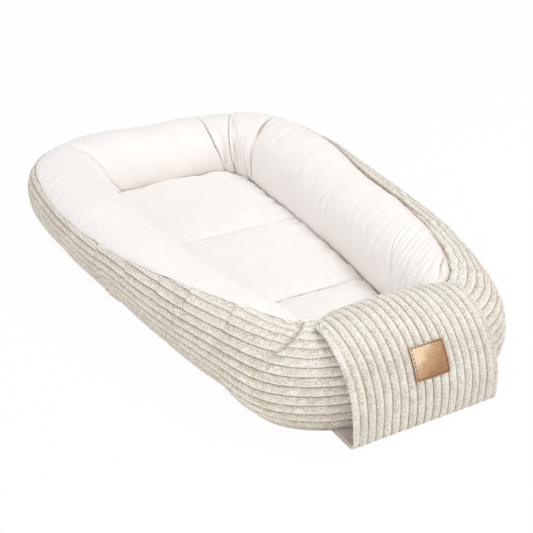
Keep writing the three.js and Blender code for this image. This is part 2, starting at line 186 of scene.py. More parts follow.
DEEPEST_CREASE = 0.0065
CREASE_REACHES = 6

# Fields of fine gathers: middle place and degrees, reach along and round, height and slant
GATHER_FIELDS = (
    (0.180, 172, 0.060, 36, 0.0012, 0.8),
    (0.770, 124, 0.085, 40, 0.0012, 0.7),
    (-0.225, 56, 0.080, 22, 0.0010, 0.8),
    (-0.150, 170, 0.045, 34, 0.0010, 0.6),
    (-0.780, 150, 0.100, 40, 0.0012, 0.8),
    (-0.450, 56, 0.160, 16, 0.0005, 0.6),
    (-0.450, 160, 0.220, 30, 0.0006, 0.5),
    (0.460, 150, 0.180, 34, 0.0006, 0.5),
)

# Corduroy: ribs, and their pleats as (jump in ribs, depth and width in millimetres, line of
# (place, degrees)), with a depth below zero for a ridge
RIB_PITCH = 0.012
RIB_HEIGHT = 0.0038
RIB_ROUND_POWER = 3.0
RIB_FLANK_POWER = 0.60
RIB_FOOT = -0.0008
PLEATS = (
    (0.16, 2.0, 2.0, ((-0.712, 78), (-0.720, 60), (-0.727, 28))),
    (0.20, 2.8, 2.4, ((-0.786, 80), (-0.794, 58), (-0.801, 30))),
    (0.50, 5.0, 2.8, ((-0.880, 95), (-0.878, 74), (-0.869, 50), (-0.857, 26))),
    (0.10, 1.4, 1.8, ((-0.662, 70), (-0.668, 44), (-0.674, 16))),
    (0.14, 2.4, 2.2, ((-0.585, 56), (-0.590, 38), (-0.594, 14))),
    (0.12, 1.6, 2.0, ((-0.930, 96), (-0.938, 84), (-0.950, 66))),
    (0.12, -2.2, 1.4, ((0.799, 84), (0.804, 66), (0.811, 44))),
    (0.12, -2.2, 1.4, ((0.852, 88), (0.852, 66), (0.850, 40))),
    (0.18, 1.8, 2.2, ((0.826, 96), (0.836, 80), (0.845, 62))),
    (0.14, 1.8, 2.0, ((0.720, 80), (0.726, 60), (0.730, 34))),
    (0.14, 1.4, 2.0, ((0.610, 80), (0.616, 58), (0.622, 30))),
)
PLEAT_REACH = 0.045
PLEAT_BULGE = 0.009
# Painted shade in the pleats' valleys, and a painted highlight on the ribs' ends beside them
PLEAT_PAINTED_SHADE = 0.085
PLEAT_PAINTED_HIGHLIGHT = 0.085
PANEL_RIB_STARTS = {"left": 0.0, "head": 0.45, "right": 0.1}
PLEAT_HELD_SHARE = 0.6
PLEAT_BULGES = (0.75, 0.20)
PLEAT_RISE = 0.010
PANEL_UNEVENNESS = 0.8
PANEL_BACK = 0.0010
PANEL_BACK_DROP = 0.0030
TUFT_SEED = 66
TUFT_HEIGHT = 0.00016

# Corduroy at its lower edge and at its cross seams
LOWER_EDGE_DROP = 0.0012
LOWER_EDGE_REACH = 0.0030
PANEL_PUFFS = {"left": 0.0028, "head": 0.0005, "right": 0.0005}
PANEL_PUFF_PLACE = 0.012
PANEL_PUFF_REACH = 0.010
PANEL_SEAM_DROP = 0.0045
PANEL_SEAM_REACH = 0.0022
# Painted shade along the corduroy's cross seams
PANEL_SEAM_PAINTED_SHADE = 0.40

# Painted light on the corduroy's rim along the lining: a highlight on the left and shade on the right,
# and a painted highlight on its far side at the right
RIM_REACHES = (0.0035, 0.0036)
RIM_PAINTED_LIGHT_AND_SHADE = (0.55, -0.60)
FAR_RIM_PAINTED_LIGHT = 0.45
FAR_RIM_PLACE = 0.012
FAR_RIM_REACH = 0.007

# Corduroy near the foot, gathered, and at the right flattened and crumpled too, with a painted
# highlight over the crumpled part
GATHERED_REACH = 0.034
GATHERED_PLACES = (0.70, 0.84)
FLATTENED_SHARE = 0.85
FLATTENED_PLACES = (0.60, 0.75)
CRUMPLED_PLACES = (0.64, 0.78)
CRUMPLED_REACH = 0.030
CRUMPLED_PAINTED_LIGHT = 0.55

# Seam between the two cloths, left and right, with painted shade along it on the lining
SEAM_DROPS = (0.0005, 0.0040)
SEAM_ROUNDINGS = (0.0009, 0.0035)
SEAM_PAINTED_SHADES = (0.0, 0.42)
SEAM_SHADE_REACHES = (0.0012, 0.0045)
HEAD_CHANGE = 0.25
LINING_DROP_REACH = 0.0026
PANEL_DROP_REACH = 0.0014
LINING_SWELL = 0.0012
PANEL_SWELL = 0.0014

# Lining: its cross seams and their painted shade, where it settles, where painted shade darkens
# its crevice towards the right, and where it goes out of sight round the roll
CROSS_SEAM_REACHES = (0.0012, 0.0032)
CROSS_SEAM_DEGREES = (55, 105)
CROSS_SEAM_DEPTH_SHARE = 0.2
CROSS_SEAM_SHADE_SHARE = 0.15
CROSS_SEAM_WIDTHS = (0.0016, 0.0080)
CROSS_SEAM_WIDE_SHARE = 0.6
LINING_HELD_REACH = 0.006
LINING_BACK = 0.0008
LINING_MIDDLE_ANGLE = math.radians(130)
HIDDEN_EDGE_ANGLE = math.radians(224)
SETTLED_SHARE = 0.9
SETTLED_DEGREES = (184, 198)
CREVICE_PAINTED_SHADE = 0.07
CREVICE_DEGREES = (130, 190)
SHADE_END_DEGREES = (196, 206)

# Swells beside a seam: where they start, where they are full and how far they fade
LINING_SWELL_REACHES = (0, 0.008, 0.020)
LINING_PUCKER_REACHES = (0.001, 0.006, 0.016)
PANEL_SWELL_REACHES = (0, 0.003, 0.006)
PANEL_PUCKER_REACHES = (0, 0.004, 0.010)
CHANNEL_PUCKER_REACHES = (0, 0.003, 0.012)

# Layers of noise: height, cell along, cell across and seed
SEAM_WANDER = ((0.0011, 0.034, 1, 3), (0.00066, 0.013, 1, 4))
GATHER_LAYERS = ((1.0, 0.0095, 0.070, 0), (0.5, 0.0050, 0.050, 20))
UNEVENNESS = ((0.0011, 0.060, 0.050, 31), (0.0005, 0.024, 0.034, 32))
STUFFING_LUMPS = ((0.0008, 0.020, 0.020, 41),)
LINING_PUCKERS = ((0.0008, 0.0100, 0.030, 51), (0.0004, 0.0055, 0.020, 52))
CROSS_SEAM_RIPPLES = ((0.3, 0.012, 1, 53),)
RIB_WAVES = ((0.0010, 0.045, 0.040, 62), (0.0004, 0.014, 0.014, 63))
GATHERED_WAVES = ((0.0012, 0.007, 0.040, 61),)
GATHERED_RELIEF = ((0.0011, 0.008, 0.050, 64), (0.0015, 0.0045, 0.007, 68))
PANEL_PUCKERS = ((0.0012, 0.0060, 0.012, 65), (0.00072, 0.0035, 0.008, 67))
CRUMPLED_LAYERS = ((0.45, 0.0055, 0.0055, 69),)
FLOOR_WRINKLES = ((0.0010, 0.050, 0.045, 71), (0.0004, 0.018, 0.020, 72))
CHANNEL_WANDER = ((0.0008, 0.020, 1, 73),)
CHANNEL_PUCKERS = ((0.0009, 0.0085, 0.050, 74), (0.00045, 0.0045, 0.030, 77))
SIDE_PUCKERS = ((0.0026, 0.0090, 0.080, 75), (0.0012, 0.0045, 0.060, 78))
CORNER_PUCKERS = ((0.0010, 0.009, 0.070, 76),)
SIDE_SHADE_LAYERS = ((0.4, 0.007, 0.080, 79),)
WADDING_LUMPS = ((0.0005, 0.020, 0.2, 81),)
BASE_RIPPLES = ((0.0004, 0.030, 0.030, 91),)
BAND_RIB_WAVES = ((0.0003, 0.030, 0.030, 101),)
BAND_WAVES = ((0.0008, 0.030, 0.026, 102), (0.0016, 0.075, 0.060, 103))
BAND_LINING_WAVES = ((0.0003, 0.020, 0.020, 111),)
PATCH_WAVES = ((0.0004, 0.015, 0.015, 121),)
HOOK_TUFTS = ((0.0002, 0.0012, 0.0012, 131),)
LOOP_TUFTS = ((0.0002, 0.0012, 0.0012, 132),)

# Floor
FLOOR_EDGE_ANGLE = math.radians(202)
FLOOR_EDGE_GAP = 0.0008
FLOOR_TUCK = 0.0062
FLOOR_EDGE_DROP = 0.0050
FLOOR_EDGE_REACH = 0.0060
FLOOR_CORNER = 0.030
PAD_EDGE_HEIGHT = 0.028
PAD_CROWN_HEIGHT = 0.037
PAD_END_POWER = 0.5
PAD_SIDE_POWER = 3.5
FOOT_CHANNEL = -0.137
HEAD_CHANNEL = 0.090
FOOT_FLOOR_HALF = 0.058
HEAD_FLOOR_HALF = 0.084

# Floor's sewn channels with painted shade along them, and its wrinkles beside the right leg and in the
# corners
CHANNEL_SHARE = 0.35
CHANNEL_DEPTH = 0.0044
CHANNEL_REACHES = (0.0022, 0.0090)
CHANNEL_SOFTNESS = 0.65
CHANNEL_PAINTED_SHADE = 0.06
CHANNEL_SHADE_REACH = 0.0018
CHANNEL_STITCH_PITCH = 0.0034
CHANNEL_STITCH_HEIGHT = 0.0003
SIDE_PUCKER_SLANT = 0.9
SIDE_PUCKER_RISE = (0.030, 0.095)
SIDE_PUCKER_MIDDLE = -0.085
SIDE_PUCKER_REACH = 0.075
CORNER_SLANT = 0.6
CORNER_RISE = (0.03, 0.09)
CORNER_MIDDLE = 0.1
CORNER_SPREAD = (0.06, 0.16)

# Floor's edge, which sinks to the right, with painted shade along it and beside the right leg
RIGHT_RISE = (0, 0.06)
LEFT_DROP_SHARE = 0.15
EDGE_PAINTED_SHADE = 0.16
EDGE_SHADE_REACH = 0.0075
RIGHT_SHADE_SHARE = 0.4
SIDE_SHADE = 0.34
SIDE_SHADE_REACH = 0.018
SIDE_SHADE_RISE = (0, 0.02)
SIDE_SHADE_ALONG = (-0.04, 0.06)
FLOOR_BACK = 0.0004

# Stuffing
WADDING_DROP = 0.0035
WADDING_REACH_SHARE = 0.985
STUFFING_SINK = 0.0045

# Underside
BASE_EDGE_ROUNDING = 0.0018
BASE_EDGE_REACH = 0.0020
BASE_SEAM_HEIGHT = 0.0008
BASE_SEAM_INSET = 0.008
BASE_SEAM_REACH = 0.0015
BASE_RIPPLE_START = 0.02
BASE_ROW_POWER = 1.3
BASE_MIDDLE_SHARE = 0.999

# The stuffing's pressure on the floor's cloth, and how the cloth gives
CLOTH_ROWS = 28
CLOTH_COLUMNS = 44
CLOTH_FRAMES = 24
CLOTH_PRESSURE = 1.2
CLOTH_SPARE_SHARE = 0.035
CLOTH_SWELL_CAP = 0.0045

# Band
BAND_WIDTH = 0.218
BAND_CROWN = 0.007
BAND_ROOT_RUN = 0.050
BAND_HEM_RADIUS = 0.014
BAND_CLEARANCE = 0.0012
BAND_FRONT_SHARE = 0.23
BAND_INSIDE_SHARE = 0.58
HINGE_SHARES = {"front": 0.3, "top": 0.76, "tongue": 0.4}
TONGUE_WIDTH = 0.098
TONGUE_SHOULDER = 0.056
TONGUE_END_HEIGHT = 0.044
HEM_RADIUS = 0.0021
BAND_RIB_HEIGHT = 0.0030
HEM_RIB_HEIGHT = 0.0010
HEM_TURN = 0.009
# Painted shade on the band's lining near its hem, where it lies in the roll's shadow
HEM_PAINTED_SHADE = 0.7
# Painted highlights over the band's crest and near its hem, and painted shade on its front face
CREST_PAINTED_LIGHT = 0.30
HEM_PAINTED_LIGHT = 0.22
FACE_SHADE = 0.13
FACE_REACH = 0.024
HEM_REACH = 0.035
LINING_HEM_SHARE = 1.2
BAND_BACK = 0.0006
HEM_TURN_SHARES = (0.1, 0.8)

# Tapes and patch
TAPE_DEPTH = 0.0014
HOOK_TAPE_WIDTH = 0.088
HOOK_TAPE_RUN = 0.022
HOOK_TAPE_HEIGHT = 0.062
LOOP_TAPE_WIDTH = 0.018
LOOP_TAPE_PLACE = 0.013
PATCH_WIDTH = 0.050
PATCH_RUN = 0.041
PATCH_DEPTH = 0.0018
PATCH_OFFSET = 0.006
PATCH_PLACE_SHARE = 0.465
LOOP_TAPE_GAP = 0.0008
PATCH_EDGE_DROP = 0.0009
PATCH_EDGE_REACH = 0.0007
PATCH_GROOVE_DEPTH = 0.00035
PATCH_GROOVE_INSET = 0.0024
PATCH_GROOVE_REACH = 0.0006
PATCH_SWELL = 0.0002
STITCH_INSET = 0.0017
STITCH_PITCH = 0.0046
STITCH_LENGTH = 0.0028
STITCH_RADIUS = 0.00072
STITCH_SINK = 0.0001
STITCH_TIP = 0.02

# Fine relief of the materials, how often the brushed pile changes along a rib and from rib to
# rib, and where a painted highlight makes the patch's leather paler towards its upper left
PILE_DEPTH = 0.0008
WEAVE_DEPTH = 0.0001
SOFT_DEPTH = 0.0012
BASE_THREAD_DEPTH = 0.0002
FIBRE_DEPTH = 0.0015
TAPE_TUFT_DEPTH = 0.0006
PORE_DEPTH = 0.00012
CLOUD_DEPTH = 0.0006
TWIST_DEPTH = 0.0001
BRUSHED_CELLS = (46.0, 3.7)
HIGHLIGHT_SWEEP = (-0.030, 0.036)

# Mesh steps
LINING_STEPS = {"left": 0.0022, "head": 0.0007, "right": 0.0012}
LINING_COLUMNS = {"left": 100, "head": 100, "right": 136}
STUFFING_STEP = 0.0072
PANEL_STEPS = {"left": 0.0015, "head": 0.0021, "right": 0.0015}
PANEL_COLUMNS = 140
FLOOR_STEP = 0.0024
FLOOR_COLUMNS = 120
BAND_STEP = 0.0030
RIB_COLUMNS = 10
BACK_STEP = 4
CURVE_DIVISIONS = 1200
PROBE = 0.0005
PROBE_ANGLE = 0.01
NOISE_CELLS = 128
STUFFING_COLUMNS = 64
WADDING_STEPS = (33, 41)
RIM_STEPS = 481
FLOOR_EDGE_STEPS = 161
ARC_STEPS = 400
BASE_STEPS = (480, 64)
HEM_STEPS = (5, 9)
BAND_LINING_COLUMNS = 41
PATCH_STEPS = (49, 61)
STITCH_STEPS = (7, 8)
HOOK_STEPS = (25, 65)
LOOP_STEPS = (17, 25)
END_SAMPLES = 20001
END_NEAREST_SHARE = 0.0005
TINY = 1e-12

# Camera, fitted to the photograph
CAMERA_PLACE = (-0.6878, -1.2678, 0.8024)
CAMERA_TURN = math.radians(-29.25)
CAMERA_DIP = math.radians(28.68)
CAMERA_LENS = 70.82
SENSOR_WIDTH = 36

# Stage and light; a lamp is its name, place, target, size and power
WHITE = (1, 1, 1, 1)
STAGE_SIZE = 6.0
STAGE_DROP = 0.0003
STAGE_COLOUR = (0.90, 0.895, 0.89, 1)
STAGE_WHITE_SHARE = 0.96
SKY_COLOUR = (1.0, 0.995, 0.99, 1)
SKY_STRENGTH = 0.628
LAMPS = (
    ("key", (0.8, -0.6, 2.05), (0, 0, 0.05), 1.4, 19.5),
    ("front", (1.1, -2.1, 1.0), (0, -0.1, 0.05), 1.2, 4),
    ("left", (-2.0, -0.9, 0.9), (0, 0, 0.05), 1.4, 11),
)

BAND_DEPTH = CORDUROY_DEPTH + TOUCH_GAP + LINING_DEPTH
LINING_COVER = TOUCH_GAP + LINING_DEPTH
CLOTH_COVER = TOUCH_GAP + CORDUROY_DEPTH
FILLING_BASE = BASE_DEPTH + TOUCH_GAP
SIDE_REACH = (LOUNGER_WIDTH - ROLL_WIDTH) / 2 - CLOTH_COVER
END_REACH = (LOUNGER_LENGTH - ROLL_WIDTH) / 2 - CLOTH_COVER
SEAM_RADIUS = ROLL_WIDTH / 2


# Curves, noise and small helpers

class ClosedCurve:
    """A closed centripetal Catmull-Rom curve through points, in millimetres"""

    def __init__(self, points):
        self.points = np.array(points, float)
        self.shares = np.linspace(0, 1, CURVE_DIVISIONS + 1)
        self.lengths = running_length(self.at(self.shares))
        self.run = self.lengths[-1]

    def at(self, share):
        count = len(self.points)
        scaled = np.mod(np.asarray(share, float), 1) * count
        start = np.floor(scaled).astype(int)
        t = (scaled - start)[..., None]
        a, b, c, d = (self.points[(start + k) % count] for k in (-1, 0, 1, 2))
        ab, bc, cd = (self.root_gap(*pair) for pair in ((a, b), (b, c), (c, d)))
        leave = ((b - a) / ab - (c - a) / (ab + bc) + (c - b) / bc) * bc
        arrive = ((c - b) / bc - (d - b) / (bc + cd) + (d - c) / cd) * bc
        square = (-3 * b + 3 * c - 2 * leave - arrive) * t ** 2
        cube = (2 * b - 2 * c + leave + arrive) * t ** 3
        return b + leave * t + square + cube

    @staticmethod
    def root_gap(a, b):
        return ((a - b) ** 2).sum(-1, keepdims=True) ** 0.25

    def share_at(self, length_share):
        return np.interp(np.mod(length_share, 1) * self.run, self.lengths, self.shares)


def running_length(points):
    """Length along a line of points, from 0 at the first"""
    return np.concatenate([[0], np.cumsum(np.linalg.norm(np.diff(points, axis=0), axis=1))])


def smooth_step(value, low, high):
    share = np.clip((value - low) / (high - low), 0, 1)
    return share * share * (3 - 2 * share)


def lerp(a, b, share):
    return a + (b - a) * share


def bell(gap, reach):
    """1 at no gap, falling to both sides"""
    return np.exp(-((gap / reach) ** 2))


def fade(gap, reach):
    """1 at no gap, falling at once"""
    return np.exp(-gap / reach)


def noise(u, v, seed):
    """Smooth noise from -1 to 1 whose cells are one unit wide"""
    lattice = np.random.default_rng(seed).uniform(-1, 1, (NOISE_CELLS, NOISE_CELLS))
    u, v = np.broadcast_arrays(np.asarray(u, float), np.asarray(v, float))
    column, row = np.floor(u).astype(int), np.floor(v).astype(int)
    s, t = smooth_step(u - column, 0, 1), smooth_step(v - row, 0, 1)
    corners = [
        lattice[(column + i) % NOISE_CELLS, (row + j) % NOISE_CELLS] for i in (0, 1) for j in (0, 1)
    ]
    return lerp(lerp(corners[0], corners[1], t), lerp(corners[2], corners[3], t), s)


def layers(u, v, parts, shift=0):
    """Layers of noise added up, with their seeds shifted"""
    return sum(
        height * noise(u / cell_u, v / cell_v, seed + shift) for height, cell_u, cell_v, seed in parts
    )


def grid(rows, columns):
    """The values of rows and of columns at each point of their grid"""
    return np.meshgrid(rows, columns, indexing="ij")


def middle_grid(steps, length, width):
    """A grid over a rectangle, as distances from its middle"""
    rows, columns = (np.linspace(-1, 1, count) for count in steps)
    return grid(rows * length / 2, columns * width / 2)


def unit(vectors):
    return vectors / np.maximum(np.linalg.norm(vectors, axis=-1, keepdims=True), TINY)


def grid_normals(points):
    """Normals of a grid of points, pointing to the side that rows x columns give"""
    rows, columns = (np.gradient(points, axis=axis) for axis in (0, 1))
    return unit(np.cross(rows, columns))


# The roll

def row_curve(values):
    """A curve of values through the rows of both halves of the roll"""
    sides = [(0, row) for row in ROLL_SHARES[:-1]] + [(1, row) for row in ROLL_SHARES[:0:-1]]
    return ClosedCurve([values(side, row) for side, row in sides])


CENTRE = row_curve(lambda side, row: (
    (2 * side - 1) * row[0] * SIDE_REACH / MM, row[1] * END_REACH / MM, 0,
))
WIDTHS = row_curve(lambda side, row: [
    share * ROLL_WIDTH / MM for share in (row[2][side], row[3], row[4])
])
HEIGHTS = row_curve(lambda side, row: (row[5][side] * ROLL_HEIGHT / 2 / MM, row[6][side], 0))
ROLL_RUN = CENTRE.run * MM
ROLL_END = (ROLL_RUN - ROLL_END_GAP) / 2


def roll_station(place):
    """Centre, outward direction, outer, inner, lean, tall and seam angle at places"""
    t = CENTRE.share_at(np.asarray(place) / ROLL_RUN + 1 / 2)
    nudge = 1 / CURVE_DIVISIONS / 10
    along = unit(CENTRE.at(t + nudge) - CENTRE.at(t - nudge))
    outward = np.stack([-along[..., 1], along[..., 0], np.zeros_like(t)], -1)
    outer, inner, lean = np.moveaxis(WIDTHS.at(t) * MM, -1, 0)
    tall, seam, _ = np.moveaxis(HEIGHTS.at(t), -1, 0)
    return CENTRE.at(t) * MM, outward, outer, inner, lean, tall * MM, np.radians(seam)


def seam_angle(place):
    """The seam between the two cloths, which wanders a little"""
    return roll_station(place)[6] + layers(place, 0, SEAM_WANDER) / SEAM_RADIUS


def from_left(place):
    """0 on the left side of the roll and 1 on the right, with the change at the head"""
    return smooth_step(place, -HEAD_CHANGE, HEAD_CHANGE)


def by_side(pair, place):
    """A value for the left side of the roll that changes at the head to the one for the right"""
    return lerp(*pair, from_left(place))


def swell(gap, start, full, reach):
    """Rises beside a seam and then fades"""
    return smooth_step(gap, start, full) * fade(gap, reach)


def gather_depth(place, angle):
    """How far the gathers at the head draw the surface in"""
    depth = 0
    down = smooth_step(angle, *GATHER_SLANT_ANGLES)
    for place_share, slant, deep, spread in GATHER_SHARES:
        middle = place_share * ROLL_RUN + slant * ROLL_WIDTH * (down - 1 / 2)
        depth = depth + deep * ROLL_WIDTH * bell(place - middle, spread * ROLL_WIDTH)
    return depth * smooth_step(angle, *GATHER_DEPTH_ANGLES)


def powered(value):
    """Makes a sine or cosine fuller, for a section between round and square"""
    return np.sign(value) * np.abs(value) ** (2 / SECTION_POWER)


def stuffed_point(place, angle):
    """A point on the surface of the stuffing"""
    centre, outward, outer, inner, lean, tall, _ = roll_station(place)
    from_end = np.minimum((ROLL_END - np.abs(place)) / ROLL_END_DOME, 1)
    dome = np.sqrt(np.maximum(1 - (1 - from_end) ** 2, 0))
    cosine, sine = powered(np.cos(angle)), powered(np.sin(angle))
    fold = gather_depth(place, angle)
    half = np.where(cosine > 0, outer, inner)
    across = dome * ((half - fold) * cosine - lean * sine)
    rise = dome * (tall - fold) * sine
    point = centre + outward * across[..., None]
    point[..., 2] = FILLING_BASE + REST_SHARE * tall + np.maximum(rise, -REST_SHARE * tall)
    return point


def roll_normal(place, angle):
    inside = np.clip(place, PROBE - ROLL_END, ROLL_END - PROBE)
    along = stuffed_point(inside + PROBE, angle) - stuffed_point(inside - PROBE, angle)
    ahead, behind = (stuffed_point(inside, angle + turn) for turn in (PROBE_ANGLE, -PROBE_ANGLE))
    return unit(np.cross(ahead - behind, along))


def roll_point(place, angle, cover):
    """A point moved out from the stuffing along the surface's normal"""
    cover = np.broadcast_to(cover, np.shape(place))
    return stuffed_point(place, angle) + roll_normal(place, angle) * cover[..., None]


def end_places(start, end, step):
    """Places from start to end, closer together in the domed ends of the roll"""
    straight = ROLL_END - ROLL_END_DOME
    dense = np.linspace(-ROLL_END, ROLL_END, END_SAMPLES)
    from_end = np.clip((ROLL_END - np.abs(dense)) / ROLL_END_DOME, END_NEAREST_SHARE, 1)
    pace = np.where(np.abs(dense) > straight, np.sqrt(from_end), 1)
    travelled = np.concatenate([[0], np.cumsum(np.diff(dense) * 2 / (pace[1:] + pace[:-1]))])
    low, high = np.interp([start, end], dense, travelled)
    count = int(round((high - low) / step / BACK_STEP)) * BACK_STEP
    return np.interp(np.linspace(low, high, count + 1), travelled, dense)


def line_distance(place, arc, line):
    """Distance of points to a line of (place, arc), the share along it, and the side"""
    nearest = np.full(place.shape, np.inf)
    share = np.zeros(place.shape)
    side = np.zeros(place.shape)
    for i, (a, b) in enumerate(zip(line[:-1], line[1:])):
        ab = b - a
        u, v = place - a[0], arc - a[1]
        t = np.clip((u * ab[0] + v * ab[1]) / (ab @ ab), 0, 1)
        gap = np.hypot(u - t * ab[0], v - t * ab[1])
        closer = gap < nearest
        nearest = np.where(closer, gap, nearest)
        share = np.where(closer, (i + t) / (len(line) - 1), share)
        side = np.where(closer, np.sign(u * ab[1] - v * ab[0]), side)
    return nearest, share, side


def smooth_line(points):
    """A smooth line of (place, arc) through chosen points of (place, degrees)"""
    rough = np.array([(place, math.radians(angle) * SEAM_RADIUS) for place, angle in points])
    fine = np.linspace(0, len(rough) - 1, CREASE_STEPS * (len(rough) - 1) + 1)
    tangents = np.gradient(rough, axis=0)
    start = np.minimum(fine.astype(int), len(rough) - 2)
    t = (fine - start)[:, None]
    a, b, leave, arrive = rough[start], rough[start + 1], tangents[start], tangents[start + 1]
    return (a * (1 + 2 * t) + leave * t) * (1 - t) ** 2 + (b * (3 - 2 * t) + arrive * (t - 1)) * t ** 2


def crease_relief(place, angle):
    """How far the creases of the lining lower its surface, and the painted shade along their lines"""
    arc = angle * SEAM_RADIUS
    relief, fold = np.zeros(place.shape), np.zeros(place.shape)
    for depth, width, points in CREASES:
        depth, width = depth * MM, width * MM
        line = smooth_line(points)
        spread = CREASE_ROUNDING * width
        reach = CREASE_REACHES * spread
        low, high = line.min(0) - reach, line.max(0) + reach
        near = (place > low[0]) & (place < high[0]) & (arc > low[1]) & (arc < high[1])
        if not near.any():
            continue
        gap, share, side = line_distance(place[near], arc[near], line)
        taper = np.sin(math.pi * np.clip(share, 0, 1)) ** 0.5
        overhang = 1 + CREASE_OVERHANG * side * fade(gap, 2 * width)
        bottom = CREASE_BOTTOM * width * (1 - depth / DEEPEST_CREASE)
        sharp = fade(np.hypot(gap, bottom) - bottom, width)
        steep = overhang * lerp(fade(gap, spread), sharp, CREASE_SHARPNESS)
        relief[near] += depth * taper * (CREASE_LIP_SHARE * bell(gap - spread, spread) - steep)
        line_shade = CREASE_PAINTED_SHADE * (depth / DEEPEST_CREASE) ** CREASE_SHADE_POWER * taper ** 2
        fold[near] = np.maximum(fold[near], line_shade * bell(gap, CREASE_SHADE_WIDTH))
    return relief, fold


def gather_relief(place, angle):
    """Fields of fine gathers"""
    arc = angle * SEAM_RADIUS
    relief = np.zeros(place.shape)
    for field, (middle, degrees, reach, spread, height, slant) in enumerate(GATHER_FIELDS):
        off_angle = angle - math.radians(degrees)
        inside = bell(place - middle, reach) * bell(off_angle, math.radians(spread))
        lane = place - slant * off_angle * SEAM_RADIUS
        relief += height * inside * layers(lane, arc, GATHER_LAYERS, field)
    return relief


def broad_relief(place, angle):
    """The slight unevenness of a stuffed roll"""
    return layers(place, angle * SEAM_RADIUS, UNEVENNESS)


# Meshes

def mesh_object(name, points, faces, uv, material):
    """A smooth piece with its cloth map"""
    mesh = bpy.data.meshes.new(name)
    mesh.from_pydata(points.tolist(), [], faces)
    corners = np.zeros(len(mesh.loops), np.int32)
    mesh.loops.foreach_get("vertex_index", corners)
    layer = mesh.uv_layers.new(name="cloth")
    layer.data.foreach_set("uv", uv[corners].astype(np.float32).ravel())
    mesh.polygons.foreach_set("use_smooth", np.ones(len(mesh.polygons), bool))
    mesh.materials.append(material)
    mesh.update()
    piece = bpy.data.objects.new(name, mesh)
    bpy.context.scene.collection.objects.link(piece)
    return piece


def stand_in(piece, slot, *nodes, body=None):
    """Puts a piece in the place of nodes, which it hides, and on a body when one is given"""
    if body:
        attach(piece, body)
    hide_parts(*nodes)


def quads(index):
    """The four corners of each cell in a grid of point numbers"""
    corners = [index[:-1, :-1], index[:-1, 1:], index[1:, 1:], index[1:, :-1]]
    return np.stack(corners, -1).reshape(-1, 4)


def tube_faces(index):
    """The faces of a tube with both ends closed, each row of point numbers being one ring"""
    sides = quads(np.concatenate([index, index[:, :1]], 1)).tolist()
    return sides + [index[0, ::-1].tolist(), index[-1].tolist()]


def border(index):
    """The point numbers round a grid"""
    return np.concatenate([index[0, :-1], index[:-1, -1], index[-1, :0:-1], index[:0:-1, 0]])


def cloth_slab(name, face, back, uv, material, fold=None):
    """A closed sheet of cloth: a fine face, a coarser back and a rim between them"""
    rows, columns = face.shape[:2]
    front = np.arange(rows * columns).reshape(rows, columns)
    back, back_uv = back[::BACK_STEP, ::BACK_STEP], uv[::BACK_STEP, ::BACK_STEP]
    behind = rows * columns + np.arange(back[..., 0].size).reshape(back.shape[:2])
    rim = border(front)
    behind_rim = border(behind)
    faces = quads(front).tolist() + quads(behind)[:, ::-1].tolist()
    for k, (a, b) in enumerate(zip(behind_rim, np.roll(behind_rim, -1))):
        edge = np.take(rim, range(k * BACK_STEP, (k + 1) * BACK_STEP + 1), mode="wrap")
        faces.append([*edge[::-1].tolist(), int(a), int(b)])
    points = np.concatenate([face.reshape(-1, 3), back.reshape(-1, 3)])
    if slab_side(face, back) < 0:
        faces = [corners[::-1] for corners in faces]
    every_uv = np.concatenate([uv.reshape(-1, 2), back_uv.reshape(-1, 2)])
    piece = mesh_object(name, points, faces, every_uv, material)
    mark_rim(piece.data, rim, columns)
    # The fold attribute carries painted shade, and painted highlights below 0
    if fold is not None:
        values = np.zeros(len(points), np.float32)
        values[:fold.size] = np.clip(fold, -1, 1).ravel()
        piece.data.attributes.new("fold", "FLOAT", "POINT").data.foreach_set("value", values)
    return piece


def slab_side(face, back):
    """Above zero where the face's own normals point away from the back"""
    coarse = face[::BACK_STEP, ::BACK_STEP]
    normals = -grid_normals(coarse)
    return float(((coarse - back) * normals).sum())


def mark_rim(mesh, rim, columns):
    """Makes the edge between face and rim sharp, so that the face keeps its own shading"""
    ends = np.zeros(len(mesh.edges) * 2, np.int32)
    mesh.edges.foreach_get("vertices", ends)
    ends = ends.reshape(-1, 2)
    on_rim = np.zeros(len(mesh.vertices), bool)
    on_rim[rim] = True
    gap = np.abs(ends[:, 0] - ends[:, 1])
    sharp = on_rim[ends].all(1) & ((gap == 1) | (gap == columns))
    mesh.attributes.new("sharp_edge", "BOOLEAN", "EDGE").data.foreach_set("value", sharp)


def arc_lengths(points):
    """Running length along each row of a grid of points"""
    steps = np.linalg.norm(np.diff(points, axis=1), axis=-1)
    return np.concatenate([np.zeros((len(points), 1)), np.cumsum(steps, axis=1)], axis=1)


# Materials

class Nodes:
    """A tree of nodes"""

    def __init__(self, tree):
        self.nodes, self.links = tree.nodes, tree.links

    def put(self, socket, value):
        if isinstance(value, bpy.types.NodeSocket):
            self.links.new(value, socket)
        else:
            socket.default_value = value

    def add(self, kind, inputs=(), **settings):
        node = self.nodes.new(kind)
        for key, value in settings.items():
            setattr(node, key, value)
        for key, value in dict(inputs).items():
            self.put(node.inputs[key], value)
        return node

    def math(self, operation, a, b=0.0, clamp=False):
        node = self.add("ShaderNodeMath", {0: a, 1: b}, operation=operation, use_clamp=clamp)
        return node.outputs[0]


